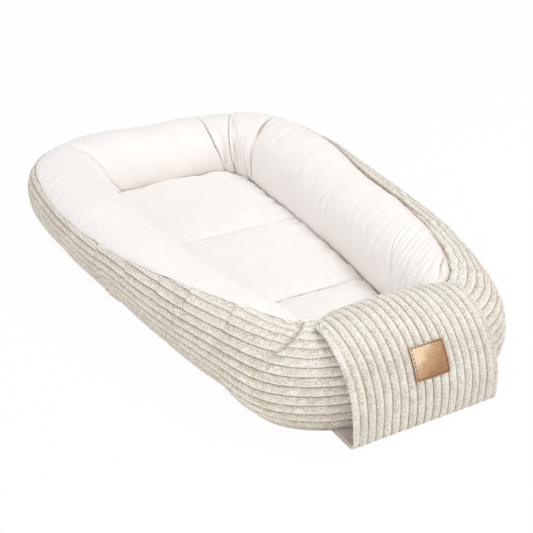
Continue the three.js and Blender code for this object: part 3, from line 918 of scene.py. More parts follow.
class Look(Nodes):
    """A material of nodes on a piece's map, in metres"""

    def __init__(self, name):
        self.material = bpy.data.materials.new(name)
        self.material.use_nodes = True
        super().__init__(self.material.node_tree)
        self.shader = self.nodes["Principled BSDF"]
        self.place = self.add("ShaderNodeUVMap", uv_map="cloth").outputs[0]

    def weigh(self, *parts):
        """The sum of sockets, each times its weight"""
        total = None
        for socket, weight in parts:
            part = self.math("MULTIPLY", socket, weight)
            total = part if total is None else self.math("ADD", total, part)
        return total

    def step(self, value, low, high, start=0.0, end=1.0):
        inputs = {"Value": value, "From Min": low, "From Max": high, "To Min": start, "To Max": end}
        return self.add("ShaderNodeMapRange", inputs, interpolation_type="SMOOTHSTEP").outputs[0]

    def split(self):
        """The map's two directions"""
        return self.add("ShaderNodeSeparateXYZ", {"Vector": self.place}).outputs[:2]

    def stretch(self, cells):
        return self.add("ShaderNodeMapping", {"Vector": self.place, "Scale": cells}).outputs[0]

    def noise(self, vector, detail=1.0, roughness=0.5):
        inputs = {"Vector": vector, "Scale": 1.0, "Detail": detail, "Roughness": roughness}
        return self.add("ShaderNodeTexNoise", inputs).outputs["Fac"]

    def grain(self, cells, detail=1.0, roughness=0.5):
        """Noise with so many cells to the metre in each direction"""
        return self.noise(self.stretch(cells), detail, roughness)

    def dots(self, cells):
        """Round cells, so many to the metre in each direction"""
        inputs = {"Vector": self.stretch((*cells, 1)), "Scale": 1.0}
        return self.add("ShaderNodeTexVoronoi", inputs).outputs

    def blend(self, share, a, b):
        node = self.add("ShaderNodeMix", data_type="RGBA", blend_type="MIX")
        for socket, value in zip((node.inputs[0], node.inputs[6], node.inputs[7]), (share, a, b)):
            self.put(socket, value)
        return node.outputs[2]

    def bump(self, height, distance, strength=1.0, below=None):
        inputs = {"Height": height, "Distance": distance, "Strength": strength}
        if below is not None:
            inputs["Normal"] = below
        return self.add("ShaderNodeBump", inputs).outputs[0]

    def fold(self):
        """Painted shade from 0 to 1, deepest in folds, seams and crevices; below 0 a painted highlight
        """
        return self.add("ShaderNodeAttribute", attribute_name="fold").outputs["Fac"]

    def finish(self, **sockets):
        for name, value in sockets.items():
            self.put(self.shader.inputs[name.replace("_", " ")], value)
        return self.material


def corduroy_look():
    """Velvety ribs with painted shade and highlights: the map's x runs along a rib and its y across the
    ribs
    """
    look = Look("corduroy")
    along, across = look.split()
    phase = look.math("DIVIDE", across, RIB_PITCH)
    rib, share = look.math("FLOOR", phase), look.math("FRACT", phase)
    # Painted shade in each groove and on the flank turned from the light, and a painted highlight on
    # the rim beside the groove
    groove = look.math("MAXIMUM", look.step(share, 0.84, 0.98), look.step(share, 0.05, 0.0))
    shaded = look.step(share, 0.36, 0.92)
    rim = look.math("MULTIPLY", look.step(share, 0.34, 0.16), look.step(share, 0.0, 0.07))
    tufts = look.add("ShaderNodeSeparateColor", {0: look.dots((600, 660))["Color"]}).outputs[0]
    pile = look.step(look.grain((380, 380, 380), 1.0, 0.6), 0.36, 0.64)
    lane = look.add("ShaderNodeCombineXYZ", {
        "X": look.math("MULTIPLY", along, BRUSHED_CELLS[0]),
        "Y": look.math("MULTIPLY", rib, BRUSHED_CELLS[1]),
    })
    brushed = look.step(look.noise(lane.outputs[0]), 0.46, 0.54)
    worn = look.step(look.grain((11, 16, 11), 2.0), 0.34, 0.66)
    weights = (worn, 0.09), (pile, 0.04), (tufts, 0.68), (brushed, 0.10), (shaded, -0.27), (rim, 0.36)
    total = look.math("ADD", look.weigh(*weights), 0.21, True)
    colour = look.blend(total, (0.540, 0.446, 0.335, 1), (1.000, 0.974, 0.905, 1))
    colour = look.blend(look.math("MULTIPLY", groove, 0.65), colour, (0.31, 0.23, 0.165, 1))
    # The fold attribute: painted shade above 0, and below 0 a painted highlight that spares the grooves
    fold = look.fold()
    painted_light = look.math("MULTIPLY", fold, -1.0, True)
    painted_light = look.math("MULTIPLY", painted_light, look.math("ADD", tufts, 0.4))
    painted_light = look.math("MULTIPLY", painted_light, look.step(groove, 0.0, 1.0, 1.0, 0.3))
    colour = look.blend(look.math("MAXIMUM", fold, 0.0), colour, (0.34, 0.255, 0.185, 1))
    colour = look.blend(painted_light, colour, (0.95, 0.93, 0.865, 1))
    normal = look.bump(look.weigh((pile, 0.4), (tufts, 0.6)), PILE_DEPTH, 0.9)
    return look.finish(
        Base_Color=colour, Roughness=0.95, Specular_IOR_Level=0.15, Sheen_Weight=0.55,
        Sheen_Roughness=0.40, Sheen_Tint=(1.0, 0.98, 0.94, 1), Normal=normal,
    )


def lining_look():
    """Smooth matt cotton"""
    look = Look("lining")
    weave, soft = look.grain((2400, 1500, 1)), look.grain((28, 28, 28), 3.0)
    pale = look.step(soft, 0.3, 0.7)
    colour = look.blend(pale, (0.940, 0.900, 0.878, 1), (0.954, 0.925, 0.902, 1))
    # Painted shade in creases, seams and crevices, from the fold attribute
    colour = look.blend(look.fold(), colour, (0.47, 0.33, 0.28, 1))
    normal = look.bump(weave, WEAVE_DEPTH, 0.35, look.bump(soft, SOFT_DEPTH, 0.30))
    return look.finish(
        Base_Color=colour, Roughness=0.9, Specular_IOR_Level=0.2, Sheen_Weight=0.12,
        Sheen_Roughness=0.6, Normal=normal,
    )


def base_look():
    """Plain woven cloth of the underside"""
    look = Look("base_cloth")
    threads, patches = look.grain((1100, 1100, 1)), look.grain((22, 22, 22), 3.0)
    colour = look.blend(threads, (0.70, 0.64, 0.55, 1), (0.82, 0.77, 0.69, 1))
    colour = look.blend(look.step(patches, 0.3, 0.7, 0.0, 0.15), colour, (0.62, 0.56, 0.48, 1))
    normal = look.bump(threads, BASE_THREAD_DEPTH, 0.6)
    return look.finish(Base_Color=colour, Roughness=0.9, Specular_IOR_Level=0.2, Normal=normal)


def filling_look():
    """Loose white polyester fibre"""
    look = Look("fibre")
    strands = look.grain((160, 700, 160), 4.0, 0.7)
    colour = look.blend(strands, (0.78, 0.78, 0.77, 1), (0.92, 0.92, 0.90, 1))
    return look.finish(Base_Color=colour, Roughness=1.0, Normal=look.bump(strands, FIBRE_DEPTH, 0.8))


def tape_look(name, dense):
    """Hook or loop tape: rows of small tufts between woven edges"""
    look = Look(name)
    rise = look.step(look.dots((dense, dense))["Distance"], 0.15, 0.55, 1.0, 0.0)
    colour = look.blend(rise, (0.66, 0.62, 0.55, 1), (0.86, 0.83, 0.77, 1))
    return look.finish(Base_Color=colour, Roughness=0.75, Normal=look.bump(rise, TAPE_TUFT_DEPTH, 0.9))


def leather_look():
    """Caramel leather with fine grain, darker towards its burnished edges, with a painted highlight
    towards its upper left
    """
    look = Look("leather")
    right, up = look.split()
    sides = [look.math("DIVIDE", right, PATCH_WIDTH / 2), look.math("DIVIDE", up, PATCH_RUN / 2)]
    edges = [look.math("ABSOLUTE", side) for side in sides]
    edge = look.step(look.math("MAXIMUM", *edges), 0.84, 0.93)
    pores = look.step(look.dots((1300, 1300))["Distance"], 0.0, 0.45)
    clouds = look.grain((70, 90, 70), 4.0, 0.6)
    # Painted highlight, paler towards the upper left, mixed with the leather's own clouds
    highlight_sweep = look.step(look.math("SUBTRACT", up, right), *HIGHLIGHT_SWEEP)
    share = look.weigh((clouds, 0.6), (highlight_sweep, 0.7))
    colour = look.blend(look.step(share, 0.25, 0.65), (0.34, 0.155, 0.055, 1), (0.50, 0.285, 0.125, 1))
    colour = look.blend(look.step(share, 0.62, 1.00), colour, (0.84, 0.63, 0.42, 1))
    thick = look.step(look.math("MAXIMUM", *sides), 0.84, 0.90)
    colour = look.blend(look.weigh((edge, 0.15), (thick, 0.42)), colour, (0.24, 0.10, 0.030, 1))
    normal = look.bump(pores, PORE_DEPTH, 0.5, look.bump(clouds, CLOUD_DEPTH, 0.4))
    roughness = look.step(clouds, 0.3, 0.7, 0.34, 0.48)
    return look.finish(
        Base_Color=colour, Roughness=roughness, Specular_IOR_Level=0.5, Coat_Weight=0.35,
        Coat_Roughness=0.30, Normal=normal,
    )


def thread_look():
    """Dark twisted thread of the patch's stitches"""
    look = Look("thread")
    twist = look.grain((900, 300, 1))
    colour = look.blend(twist, (0.10, 0.035, 0.010, 1), (0.19, 0.075, 0.025, 1))
    return look.finish(Base_Color=colour, Roughness=0.7, Normal=look.bump(twist, TWIST_DEPTH, 0.6))


corduroy = corduroy_look()
lining = lining_look()
base_cloth = base_look()
fibre = filling_look()
hook_cloth = tape_look("hook_tape_cloth", 900)
loop_cloth = tape_look("loop_tape_cloth", 600)
leather = leather_look()
thread = thread_look()


# The roll's stuffing and its two cloths

def make_stuffing():
    """The roll's loose fibre, a closed tube"""
    places = end_places(-ROLL_END + PROBE, ROLL_END - PROBE, STUFFING_STEP)
    place, angle = grid(places, np.linspace(0, 2 * math.pi, STUFFING_COLUMNS, endpoint=False))
    arc = angle * SEAM_RADIUS
    depth = layers(place, arc, STUFFING_LUMPS) - STUFFING_SINK
    from_end = np.clip((ROLL_END - np.abs(place)) / ROLL_END_DOME, 0, 1)
    points = roll_point(place, angle, depth * np.sqrt(from_end))
    faces = tube_faces(np.arange(place.size).reshape(place.shape))
    uv = np.stack([place, arc], -1).reshape(-1, 2)
    piece = mesh_object("roll_stuffing", points.reshape(-1, 3), faces, uv, fibre)
    stand_in(piece, "filling", "roll_filling", body="root")


def seam_places(name, angle):
    """Start and end of a piece of lining, which follow its slanted cross seams"""
    end = ROLL_END - PROBE
    edges = [np.full(angle.shape, -end), np.full(angle.shape, end)]
    for _, _, line in LINING_SEAMS:
        places, degrees = np.array(line).T
        edges.insert(-1, np.interp(np.degrees(angle), degrees, places))
    first = {"left": 0, "head": 1, "right": 2}[name]
    return edges[first], edges[first + 1]


def make_lining(name):
    """One length of the lining over the roll's inner face"""
    start, end = seam_places(name, np.array([LINING_MIDDLE_ANGLE]))
    rows = end_places(start[0], end[0], LINING_STEPS[name])
    shares = (rows - start[0]) / (end[0] - start[0])
    column_shares = np.linspace(0, 1, LINING_COLUMNS[name] + 1)[None, :]
    angle = lerp(seam_angle(rows)[:, None], HIDDEN_EDGE_ANGLE, column_shares)
    low, high = seam_places(name, angle)
    place = lerp(low, high, shares[:, None])
    seam = seam_angle(place)
    angle = lerp(seam, HIDDEN_EDGE_ANGLE, column_shares)
    arc, degrees = angle * SEAM_RADIUS, np.degrees(angle)
    from_seam = (angle - seam) * SEAM_RADIUS
    loose = 1 - SETTLED_SHARE * smooth_step(degrees, *SETTLED_DEGREES)
    creases, fold = crease_relief(place, angle)
    relief = (gather_relief(place, angle) + broad_relief(place, angle)) * loose + creases
    relief *= 1 - fade(from_seam, LINING_HELD_REACH)
    # Painted shade along the seam, none on the left and full on the right
    long_seam_shade = by_side(SEAM_PAINTED_SHADES, place) * fade(from_seam, by_side(SEAM_SHADE_REACHES, place))
    fold = np.maximum(fold, long_seam_shade)
    relief -= by_side(SEAM_DROPS, place) * fade(from_seam, LINING_DROP_REACH)
    relief += LINING_SWELL * swell(from_seam, *LINING_SWELL_REACHES)
    relief += layers(place, from_seam, LINING_PUCKERS) * swell(from_seam, *LINING_PUCKER_REACHES)
    crossed = {"left": ((high, 0),), "head": ((low, 0), (high, 1)), "right": ((low, 1),)}[name]
    for edge, seam_index in crossed:
        depth, cross_seam_shade, _ = LINING_SEAMS[seam_index]
        gap = np.abs(place - edge)
        ripples = 1 + layers(arc, 0, CROSS_SEAM_RIPPLES)
        deep = smooth_step(degrees, *CROSS_SEAM_DEGREES)
        held = depth * MM * lerp(CROSS_SEAM_DEPTH_SHARE, 1, deep)
        narrow, wide = (fade(gap, width) for width in CROSS_SEAM_WIDTHS)
        relief -= held * (ripples * narrow + CROSS_SEAM_WIDE_SHARE * wide)
        # Painted shade along the cross seam, fainter near the corduroy
        reach = lerp(*CROSS_SEAM_REACHES, deep ** 2 if name == "head" else 0)
        cross_seam_shade = cross_seam_shade * lerp(CROSS_SEAM_SHADE_SHARE, 1, deep)
        fold = np.maximum(fold, cross_seam_shade * bell(gap, reach))
    # Painted shade low inside the roll, towards the right leg, ending before the hidden edge
    crevice = smooth_step(degrees, *CREVICE_DEGREES) * from_left(place)
    fold = np.maximum(fold, CREVICE_PAINTED_SHADE * crevice) * (1 - smooth_step(degrees, *SHADE_END_DEGREES))
    face = roll_point(place, angle, LINING_COVER + relief)
    back = roll_point(place, angle, TOUCH_GAP - LINING_BACK + relief)
    piece = cloth_slab(f"roll_lining_{name}", face, back, np.stack([place, arc], -1), lining, fold)
    stand_in(piece, "lining", f"lining_{name}", body="root")


def rib_shape(across):
    """Height of the ribs from 0 in a groove to 1 on a ridge"""
    swing = np.abs(2 * np.mod(across / RIB_PITCH, 1) - 1)
    return (1 - swing ** RIB_ROUND_POWER) ** RIB_FLANK_POWER


def pleat_field(place, angle):
    """Shift across the ribs and relief of the pleats along the corduroy's upper edge, and their painted
    shade, less a painted highlight on the ribs' ends
    """
    arc = angle * SEAM_RADIUS
    shift, relief, fold, light = (np.zeros(place.shape) for _ in range(4))
    for jump, depth, width, points in PLEATS:
        gap, share, side = line_distance(place, arc, smooth_line(points))
        width = width * MM
        held = 1 - smooth_step(share, PLEAT_HELD_SHARE, 1)
        shift += jump * RIB_PITCH * side * fade(gap, PLEAT_REACH) * held / 2
        steep = bell(gap, width)
        valley = np.where(side > 0, steep, fade(gap, 2 * width))
        bulge = bell(gap - PLEAT_BULGE, PLEAT_BULGE) * np.where(side > 0, *PLEAT_BULGES)
        relief += depth * MM * (max(np.sign(depth), 0) * bulge - valley) * held
        fold = np.maximum(fold, PLEAT_PAINTED_SHADE * max(depth, 0) * steep * held)
        crest = bell(gap - 2 * width, width) * (side > 0) if depth > 0 else steep
        light = np.maximum(light, PLEAT_PAINTED_HIGHLIGHT * abs(depth) * crest * held)
    return shift, relief, fold - light


def make_panel(name, start, end):
    """One length of the corduroy outside of the roll"""
    rows = end_places(start, end, PANEL_STEPS[name])
    columns = np.linspace(0, 1, PANEL_COLUMNS + 1)
    angle = lerp(PANEL_EDGE_ANGLE, seam_angle(rows)[:, None], columns[None, :])
    place = np.broadcast_to(rows[:, None], angle.shape)
    above = arc_lengths(roll_point(place, angle, TOUCH_GAP))
    from_seam = above[:, -1:] - above
    shift, folds, fold = pleat_field(place, angle)
    gathered = fade(from_seam, GATHERED_REACH) * smooth_step(np.abs(place), *GATHERED_PLACES)
    waves = gathered * layers(place, from_seam, GATHERED_WAVES) + layers(place, above, RIB_WAVES)
    across = above + shift + waves + PANEL_RIB_STARTS[name] * RIB_PITCH
    near_seam = fade(from_seam, by_side(SEAM_ROUNDINGS, place))
    flattened = 1 - FLATTENED_SHARE * gathered * smooth_step(place, *FLATTENED_PLACES)
    relief = RIB_HEIGHT * rib_shape(across) * (1 - near_seam) * flattened
    relief += folds * smooth_step(from_seam, 0, PLEAT_RISE)
    relief += PANEL_UNEVENNESS * broad_relief(place, angle)
    relief += gathered * layers(place, from_seam, GATHERED_RELIEF)
    relief -= by_side(SEAM_DROPS, place) * fade(from_seam, PANEL_DROP_REACH)
    relief += PANEL_SWELL * swell(from_seam, *PANEL_SWELL_REACHES)
    relief += layers(place, from_seam, PANEL_PUCKERS) * swell(from_seam, *PANEL_PUCKER_REACHES)
    relief -= LOWER_EDGE_DROP * fade(above, LOWER_EDGE_REACH)
    for seam_place in {"left": (end,), "head": (start, end), "right": (start,)}[name]:
        gap = np.abs(place - seam_place)
        relief += PANEL_PUFFS[name] * bell(gap - PANEL_PUFF_PLACE, PANEL_PUFF_REACH)
        relief -= PANEL_SEAM_DROP * fade(gap, PANEL_SEAM_REACH)
        # Painted shade along the cross seam
        panel_seam_shade = PANEL_SEAM_PAINTED_SHADE * bell(gap, PANEL_SEAM_REACH)
        fold = np.maximum(fold, panel_seam_shade * (from_seam > RIM_REACHES[0]))
    # Painted highlight on the rim along the seam on the left, painted shade there on the right, and a
    # painted highlight on the far side at the right
    fold = fold - by_side(RIM_PAINTED_LIGHT_AND_SHADE, place) * bell(from_seam, by_side(RIM_REACHES, place))
    fold -= FAR_RIM_PAINTED_LIGHT * from_left(place) * bell(from_seam - FAR_RIM_PLACE, FAR_RIM_REACH)
    # Painted highlight over the crumpled cloth, which hides the ribs' painted shade there
    crumpled = smooth_step(place, *CRUMPLED_PLACES) * bell(from_seam, CRUMPLED_REACH)
    fold -= crumpled * (CRUMPLED_PAINTED_LIGHT + layers(place, from_seam, CRUMPLED_LAYERS))
    tufts = TUFT_HEIGHT * np.random.default_rng(TUFT_SEED).standard_normal(place.shape)
    under = np.minimum(folds, 0) - PANEL_BACK - PANEL_BACK_DROP * near_seam
    face = roll_point(place, angle, TOUCH_GAP + RIB_FOOT + relief + tufts)
    back = roll_point(place, angle, RIB_FOOT + under)
    piece = cloth_slab(f"corduroy_{name}", face, back, np.stack([place, across], -1), corduroy, fold)
    stand_in(piece, "corduroy", f"side_panel_{name}", body="root")


# The quilted floor

def floor_edges():
    """The roll's inner edge at floor height: place along the lounger, left and right half widths"""
    places = np.linspace(0, ROLL_END - ROLL_END_DOME, FLOOR_EDGE_STEPS)
    angle = np.full(places.shape, FLOOR_EDGE_ANGLE)
    cover = LINING_COVER + FLOOR_EDGE_GAP
    left, right = (roll_point(side * places, angle, cover) for side in (-1, 1))
    return (left[:, 1] + right[:, 1]) / 2, -left[:, 0], right[:, 0]


EDGE_ALONG, EDGE_LEFT, EDGE_RIGHT = floor_edges()
EDGE_HALF = np.minimum(EDGE_LEFT, EDGE_RIGHT)
FLOOR_FOOT = float(EDGE_ALONG[len(EDGE_HALF) - 1 - np.argmax(EDGE_HALF[::-1] >= FOOT_FLOOR_HALF)])
FLOOR_HEAD = float(EDGE_ALONG[np.argmax(EDGE_HALF >= HEAD_FLOOR_HALF)])
HEAD_BOW = float(EDGE_ALONG[0]) - FLOOR_HEAD
CHANNELS = (FLOOR_FOOT, FOOT_CHANNEL, HEAD_CHANNEL, FLOOR_HEAD)


def floor_half(along, side):
    """Half width of the floor on one side, -1 or 1, between the foot and the head"""
    edge = EDGE_LEFT if side < 0 else EDGE_RIGHT
    order = np.argsort(EDGE_ALONG)
    return np.interp(along, EDGE_ALONG[order], edge[order])


def floor_surface(along, across, tuck=0.0, drop=0.0):
    """Points of the quilted floor: along is its place before the head's bow, across is -1 to 1"""
    section = np.clip(np.searchsorted(CHANNELS, along, side="right") - 1, 0, 2)
    starts, ends = np.array(CHANNELS)[section], np.array(CHANNELS)[section + 1]
    share = np.clip((along - starts) / (ends - starts), 0, 1)
    rise = np.sin(math.pi * share) ** PAD_END_POWER
    outer = ((section == 0) & (share < 0.5)) | ((section == 2) & (share > 0.5))
    rise = np.where(outer, rise, lerp(CHANNEL_SHARE, 1, rise))
    crown = rise * (1 - np.abs(across) ** PAD_SIDE_POWER)
    half = np.where(across < 0, floor_half(along, -1), floor_half(along, 1)) + tuck
    bow = HEAD_BOW * (1 - across ** 2) * smooth_step(along, HEAD_CHANNEL, FLOOR_HEAD)
    into_head = tuck * smooth_step(along, HEAD_CHANNEL, FLOOR_HEAD)
    height = lerp(PAD_EDGE_HEIGHT, PAD_CROWN_HEIGHT, crown) - drop
    return np.stack([across * half, along + bow + into_head, height], -1)


def quilt_relief(along, across):
    """Stitched channels with their puckers, rounded edges and the slight wrinkles of the floor, and the
    painted shade along its channels and edges and beside the right leg"""
    half = floor_half(along, 1)
    x = across * half
    relief = layers(along, x, FLOOR_WRINKLES)
    fold = np.zeros(along.shape)
    for channel in (FOOT_CHANNEL, HEAD_CHANNEL):
        gap = np.abs(along - channel - layers(x, 0, CHANNEL_WANDER))
        depth = CHANNEL_DEPTH + CHANNEL_STITCH_HEIGHT * np.cos(2 * math.pi * x / CHANNEL_STITCH_PITCH)
        relief -= depth * lerp(*(fade(gap, reach) for reach in CHANNEL_REACHES), CHANNEL_SOFTNESS)
        relief += layers(x, along, CHANNEL_PUCKERS) * swell(gap, *CHANNEL_PUCKER_REACHES)
        # Painted shade along the channel
        fold = np.maximum(fold, CHANNEL_PAINTED_SHADE * bell(along - channel, CHANNEL_SHADE_REACH))
    slant = x + SIDE_PUCKER_SLANT * along
    beside = smooth_step(x, *SIDE_PUCKER_RISE) * bell(along - SIDE_PUCKER_MIDDLE, SIDE_PUCKER_REACH)
    relief += beside * layers(slant, along, SIDE_PUCKERS)
    corner = smooth_step(np.abs(along - CORNER_MIDDLE), *CORNER_SPREAD)
    corner = corner * smooth_step(np.abs(x), *CORNER_RISE)
    relief += corner * layers(np.abs(x) - CORNER_SLANT * along, along, CORNER_PUCKERS)
    from_side = (1 - np.abs(across)) * half
    gaps = [np.maximum(FLOOR_CORNER - gap, 0) for gap in (from_side, np.maximum(FLOOR_HEAD - along, 0))]
    from_rim = np.maximum(FLOOR_CORNER - np.hypot(*gaps), 0)
    edge = fade(from_rim, FLOOR_EDGE_REACH)
    right = smooth_step(x, *RIGHT_RISE)
    relief = relief * (1 - edge) - FLOOR_EDGE_DROP * lerp(LEFT_DROP_SHARE, 1, right) * edge
    # Painted shade along the floor's edge, fainter on the right, and beside the right leg
    edge_shade = EDGE_PAINTED_SHADE * fade(from_rim, EDGE_SHADE_REACH) * lerp(1, RIGHT_SHADE_SHARE, right)
    shade = smooth_step(x, *SIDE_SHADE_RISE) * smooth_step(-along, *SIDE_SHADE_ALONG)
    shade = SIDE_SHADE * shade * fade(from_side, SIDE_SHADE_REACH)
    edge_shade += shade * (1 + layers(slant, along, SIDE_SHADE_LAYERS))
    return relief, np.maximum(fold, edge_shade)


def section_steps(start, end, step):
    """Places from one channel to the next, closer together beside them"""
    count = int(round((end - start) / step / BACK_STEP)) * BACK_STEP
    return lerp(start, end, (1 - np.cos(math.pi * np.linspace(0, 1, count + 1))) / 2)


def press_floor(sections):
    """Simulates the floor's cloth, sewn down along its rim and channels and pressed up from below
    by the stuffing, and returns how far it swells on a grid of (along, across)"""
    spans = [np.linspace(start, end, CLOTH_ROWS + 1)[:-1] for start, end in sections]
    rows = np.concatenate([*spans, [sections[-1][1]]])
    columns = np.linspace(-1, 1, CLOTH_COLUMNS + 1)
    along, across = grid(rows, columns)
    start = floor_surface(along, across)
    index = np.arange(along.size).reshape(along.shape)
    points, flat = start.reshape(-1, 3), start[..., :2].reshape(-1, 2)
    piece = mesh_object("pressed_cloth", points, quads(index).tolist(), flat, lining)
    sewn = index[::CLOTH_ROWS].ravel().tolist() + index[:, [0, -1]].ravel().tolist()
    group = piece.vertex_groups.new(name="sewn")
    group.add(sewn, 1.0, "REPLACE")
    cloth = piece.modifiers.new("cloth", "CLOTH")
    cloth.settings.vertex_group_mass = group.name
    cloth.settings.use_pressure = True
    cloth.settings.uniform_pressure_force = CLOTH_PRESSURE
    cloth.settings.shrink_min = -CLOTH_SPARE_SHARE
    cloth.settings.effector_weights.gravity = 0
    cloth.point_cache.frame_end = CLOTH_FRAMES
    scene = bpy.context.scene
    for frame in range(1, CLOTH_FRAMES + 1):
        scene.frame_set(frame)
    settled = piece.evaluated_get(bpy.context.evaluated_depsgraph_get()).data
    places = np.zeros(along.size * 3, np.float32)
    settled.vertices.foreach_get("co", places)
    lift = places.reshape(start.shape)[..., 2] - start[..., 2]
    scene.frame_set(1)
    bpy.data.objects.remove(piece)
    return rows, columns, np.clip(lift, 0, CLOTH_SWELL_CAP)


def on_grid(rows, columns, values, fine_rows, fine_columns):
    """Values of a coarse grid at the places of a finer one"""
    tall = np.stack([np.interp(fine_rows, rows, column) for column in values.T], -1)
    return np.stack([np.interp(fine_columns, columns, row) for row in tall])


def make_floor():
    """The floor's quilted lining and the pads below it"""
    sections = list(zip(CHANNELS[:-1], CHANNELS[1:]))
    rows = [section_steps(start, end, FLOOR_STEP)[:-1] for start, end in sections]
    along = np.concatenate([*rows, [FLOOR_HEAD]])
    along, across = grid(along, np.sin(math.pi / 2 * np.linspace(-1, 1, FLOOR_COLUMNS + 1)))
    surface = floor_surface(along, across, FLOOR_TUCK)
    normal = grid_normals(surface)
    normal *= np.sign(normal[..., 2:])
    relief, fold = quilt_relief(along, across)
    relief += on_grid(*press_floor(sections), along[:, 0], across[0])
    face = surface + normal * (LINING_COVER + relief)[..., None]
    back = surface + normal * (TOUCH_GAP - FLOOR_BACK + np.minimum(relief, 0))[..., None]
    piece = cloth_slab("floor_cover", face, back, surface[..., :2], lining, fold)
    stand_in(piece, "lining", "floor_lining", body="root")
    names = [f"wadding_{name}" for name in ("foot", "middle", "head")]
    for name, (start, end) in zip(names, sections):
        make_wadding(name, start, end)


def make_wadding(name, start, end):
    """The fibre pad of one section of the floor"""
    inset = 4 * TOUCH_GAP
    rows, columns = (np.linspace(-1, 1, count) for count in WADDING_STEPS)
    rows = lerp(start + inset, end - inset, (rows + 1) / 2)
    along, across = grid(rows, WADDING_REACH_SHARE * np.sin(math.pi / 2 * columns))
    top = floor_surface(along, across, drop=WADDING_DROP)
    top[..., 2] -= FLOOR_EDGE_DROP * fade((1 - np.abs(across)) * floor_half(along, 1), FLOOR_EDGE_REACH)
    top[..., 2] += layers(along, across, WADDING_LUMPS)
    under = top.copy()
    under[..., 2] = FILLING_BASE + TOUCH_GAP
    piece = cloth_slab(name, top, under, top[..., :2], fibre)
    stand_in(piece, "filling", name.replace("wadding", "floor_pad"), body="root")


def make_underside():
    """The flat, lightly padded cloth below everything, cut straight where the band is sewn on"""
    low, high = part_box("base_panel")
    places = np.linspace(-ROLL_END, ROLL_END, RIM_STEPS)
    rim = roll_point(places, np.full(places.shape, PANEL_EDGE_ANGLE), TOUCH_GAP)[:, :2]
    cut, front = BAND_WIDTH / 2 + TOUCH_GAP, -LOUNGER_LENGTH / 2 + BAND_ROOT_RUN + TOUCH_GAP
    rim = rim[(rim[:, 1] > 0) | (np.abs(rim[:, 0]) > cut)]
    closed = np.concatenate([rim, [(cut, front), (-cut, front)], rim[:1]])
    run = running_length(closed)
    even = np.linspace(0, run[-1], BASE_STEPS[0] + 1)
    outline = np.stack([np.interp(even, run, closed[:, k]) for k in (0, 1)], -1)
    shares = 1 - np.linspace(0, 1, BASE_STEPS[1] + 1) ** BASE_ROW_POWER * BASE_MIDDLE_SHARE
    flat = outline[:, None, :] * shares[None, :, None]
    from_edge = (1 - shares)[None, :] * np.linalg.norm(outline, axis=1)[:, None]
    rounded = BASE_EDGE_ROUNDING * fade(from_edge, BASE_EDGE_REACH)
    rounded += BASE_SEAM_HEIGHT * bell(from_edge - BASE_SEAM_INSET, BASE_SEAM_REACH)
    ripple = layers(flat[..., 0], flat[..., 1], BASE_RIPPLES)
    bottom = np.maximum(ripple * smooth_step(from_edge, 0, BASE_RIPPLE_START) + rounded, 0)
    bottom -= bottom.min()
    face = np.concatenate([flat, bottom[..., None]], -1)
    back = np.concatenate([flat, np.full(bottom.shape, high.z)[..., None]], -1)
    piece = cloth_slab("underside", face, back, flat, base_cloth)
    stand_in(piece, "base", "base_panel", body="root")


# The band

def arc_points(centre, radii, start, end):
    """Points on a part of an ellipse"""
    turn = np.linspace(start, end, ARC_STEPS)
    return np.stack([centre[0] + radii[0] * np.cos(turn), centre[1] + radii[1] * np.sin(turn)], -1)


def band_path():
    """Side view of the band's outer face as (along, height), its running length and its bends"""
    centre, _, _, inner, lean, tall, _ = roll_station(ROLL_END - ROLL_END_DOME)
    foot = float(centre[1])
    foot_top = FILLING_BASE + (1 + REST_SHARE) * float(tall)
    front = -LOUNGER_LENGTH / 2
    crest = foot + float(lean)
    top = foot_top + CLOTH_COVER + BAND_CLEARANCE + BAND_DEPTH
    tape_room = LINING_COVER + LOOP_TAPE_GAP + 2 * TOUCH_GAP + 2 * TAPE_DEPTH
    inside = foot + float(inner) + tape_room + BAND_DEPTH
    front_centre, inside_centre = BAND_FRONT_SHARE * top, BAND_INSIDE_SHARE * top
    hem = front + BAND_HEM_RADIUS
    quarter = math.pi / 2
    parts = [
        np.array([(front + BAND_ROOT_RUN, 0), (hem, 0)]),
        arc_points((hem, BAND_HEM_RADIUS), (BAND_HEM_RADIUS,) * 2, -quarter, -2 * quarter),
        np.array([(front, BAND_HEM_RADIUS), (front, front_centre)]),
        arc_points((crest, front_centre), (crest - front, top - front_centre), 2 * quarter, quarter),
        arc_points((crest, inside_centre), (inside - crest, top - inside_centre), quarter, 0),
        np.array([(inside, inside_centre), (inside, TONGUE_END_HEIGHT)]),
    ]
    points = np.concatenate([parts[0], *[part[1:] for part in parts[1:]]])
    ends = np.cumsum([len(part) - 1 for part in parts])
    run = running_length(points)
    return points, run, [float(run[end]) for end in ends]


BAND_POINTS, BAND_RUNS, BAND_BENDS = band_path()
BAND_RUN = BAND_BENDS[-1]
HEM_RUN, FRONT_RUN, INSIDE_RUN = BAND_BENDS[1], BAND_BENDS[3], BAND_BENDS[4]
HINGES = (
    0.0,
    HEM_RUN,
    lerp(HEM_RUN, FRONT_RUN, HINGE_SHARES["front"]),
    lerp(HEM_RUN, FRONT_RUN, HINGE_SHARES["top"]),
    lerp(FRONT_RUN, INSIDE_RUN, HINGE_SHARES["tongue"]),
    BAND_RUN,
)


def band_place(run):
    """Side view of the band's outer face, as (along, height)"""
    return np.stack([np.interp(run, BAND_RUNS, BAND_POINTS[:, k]) for k in (0, 1)], -1)


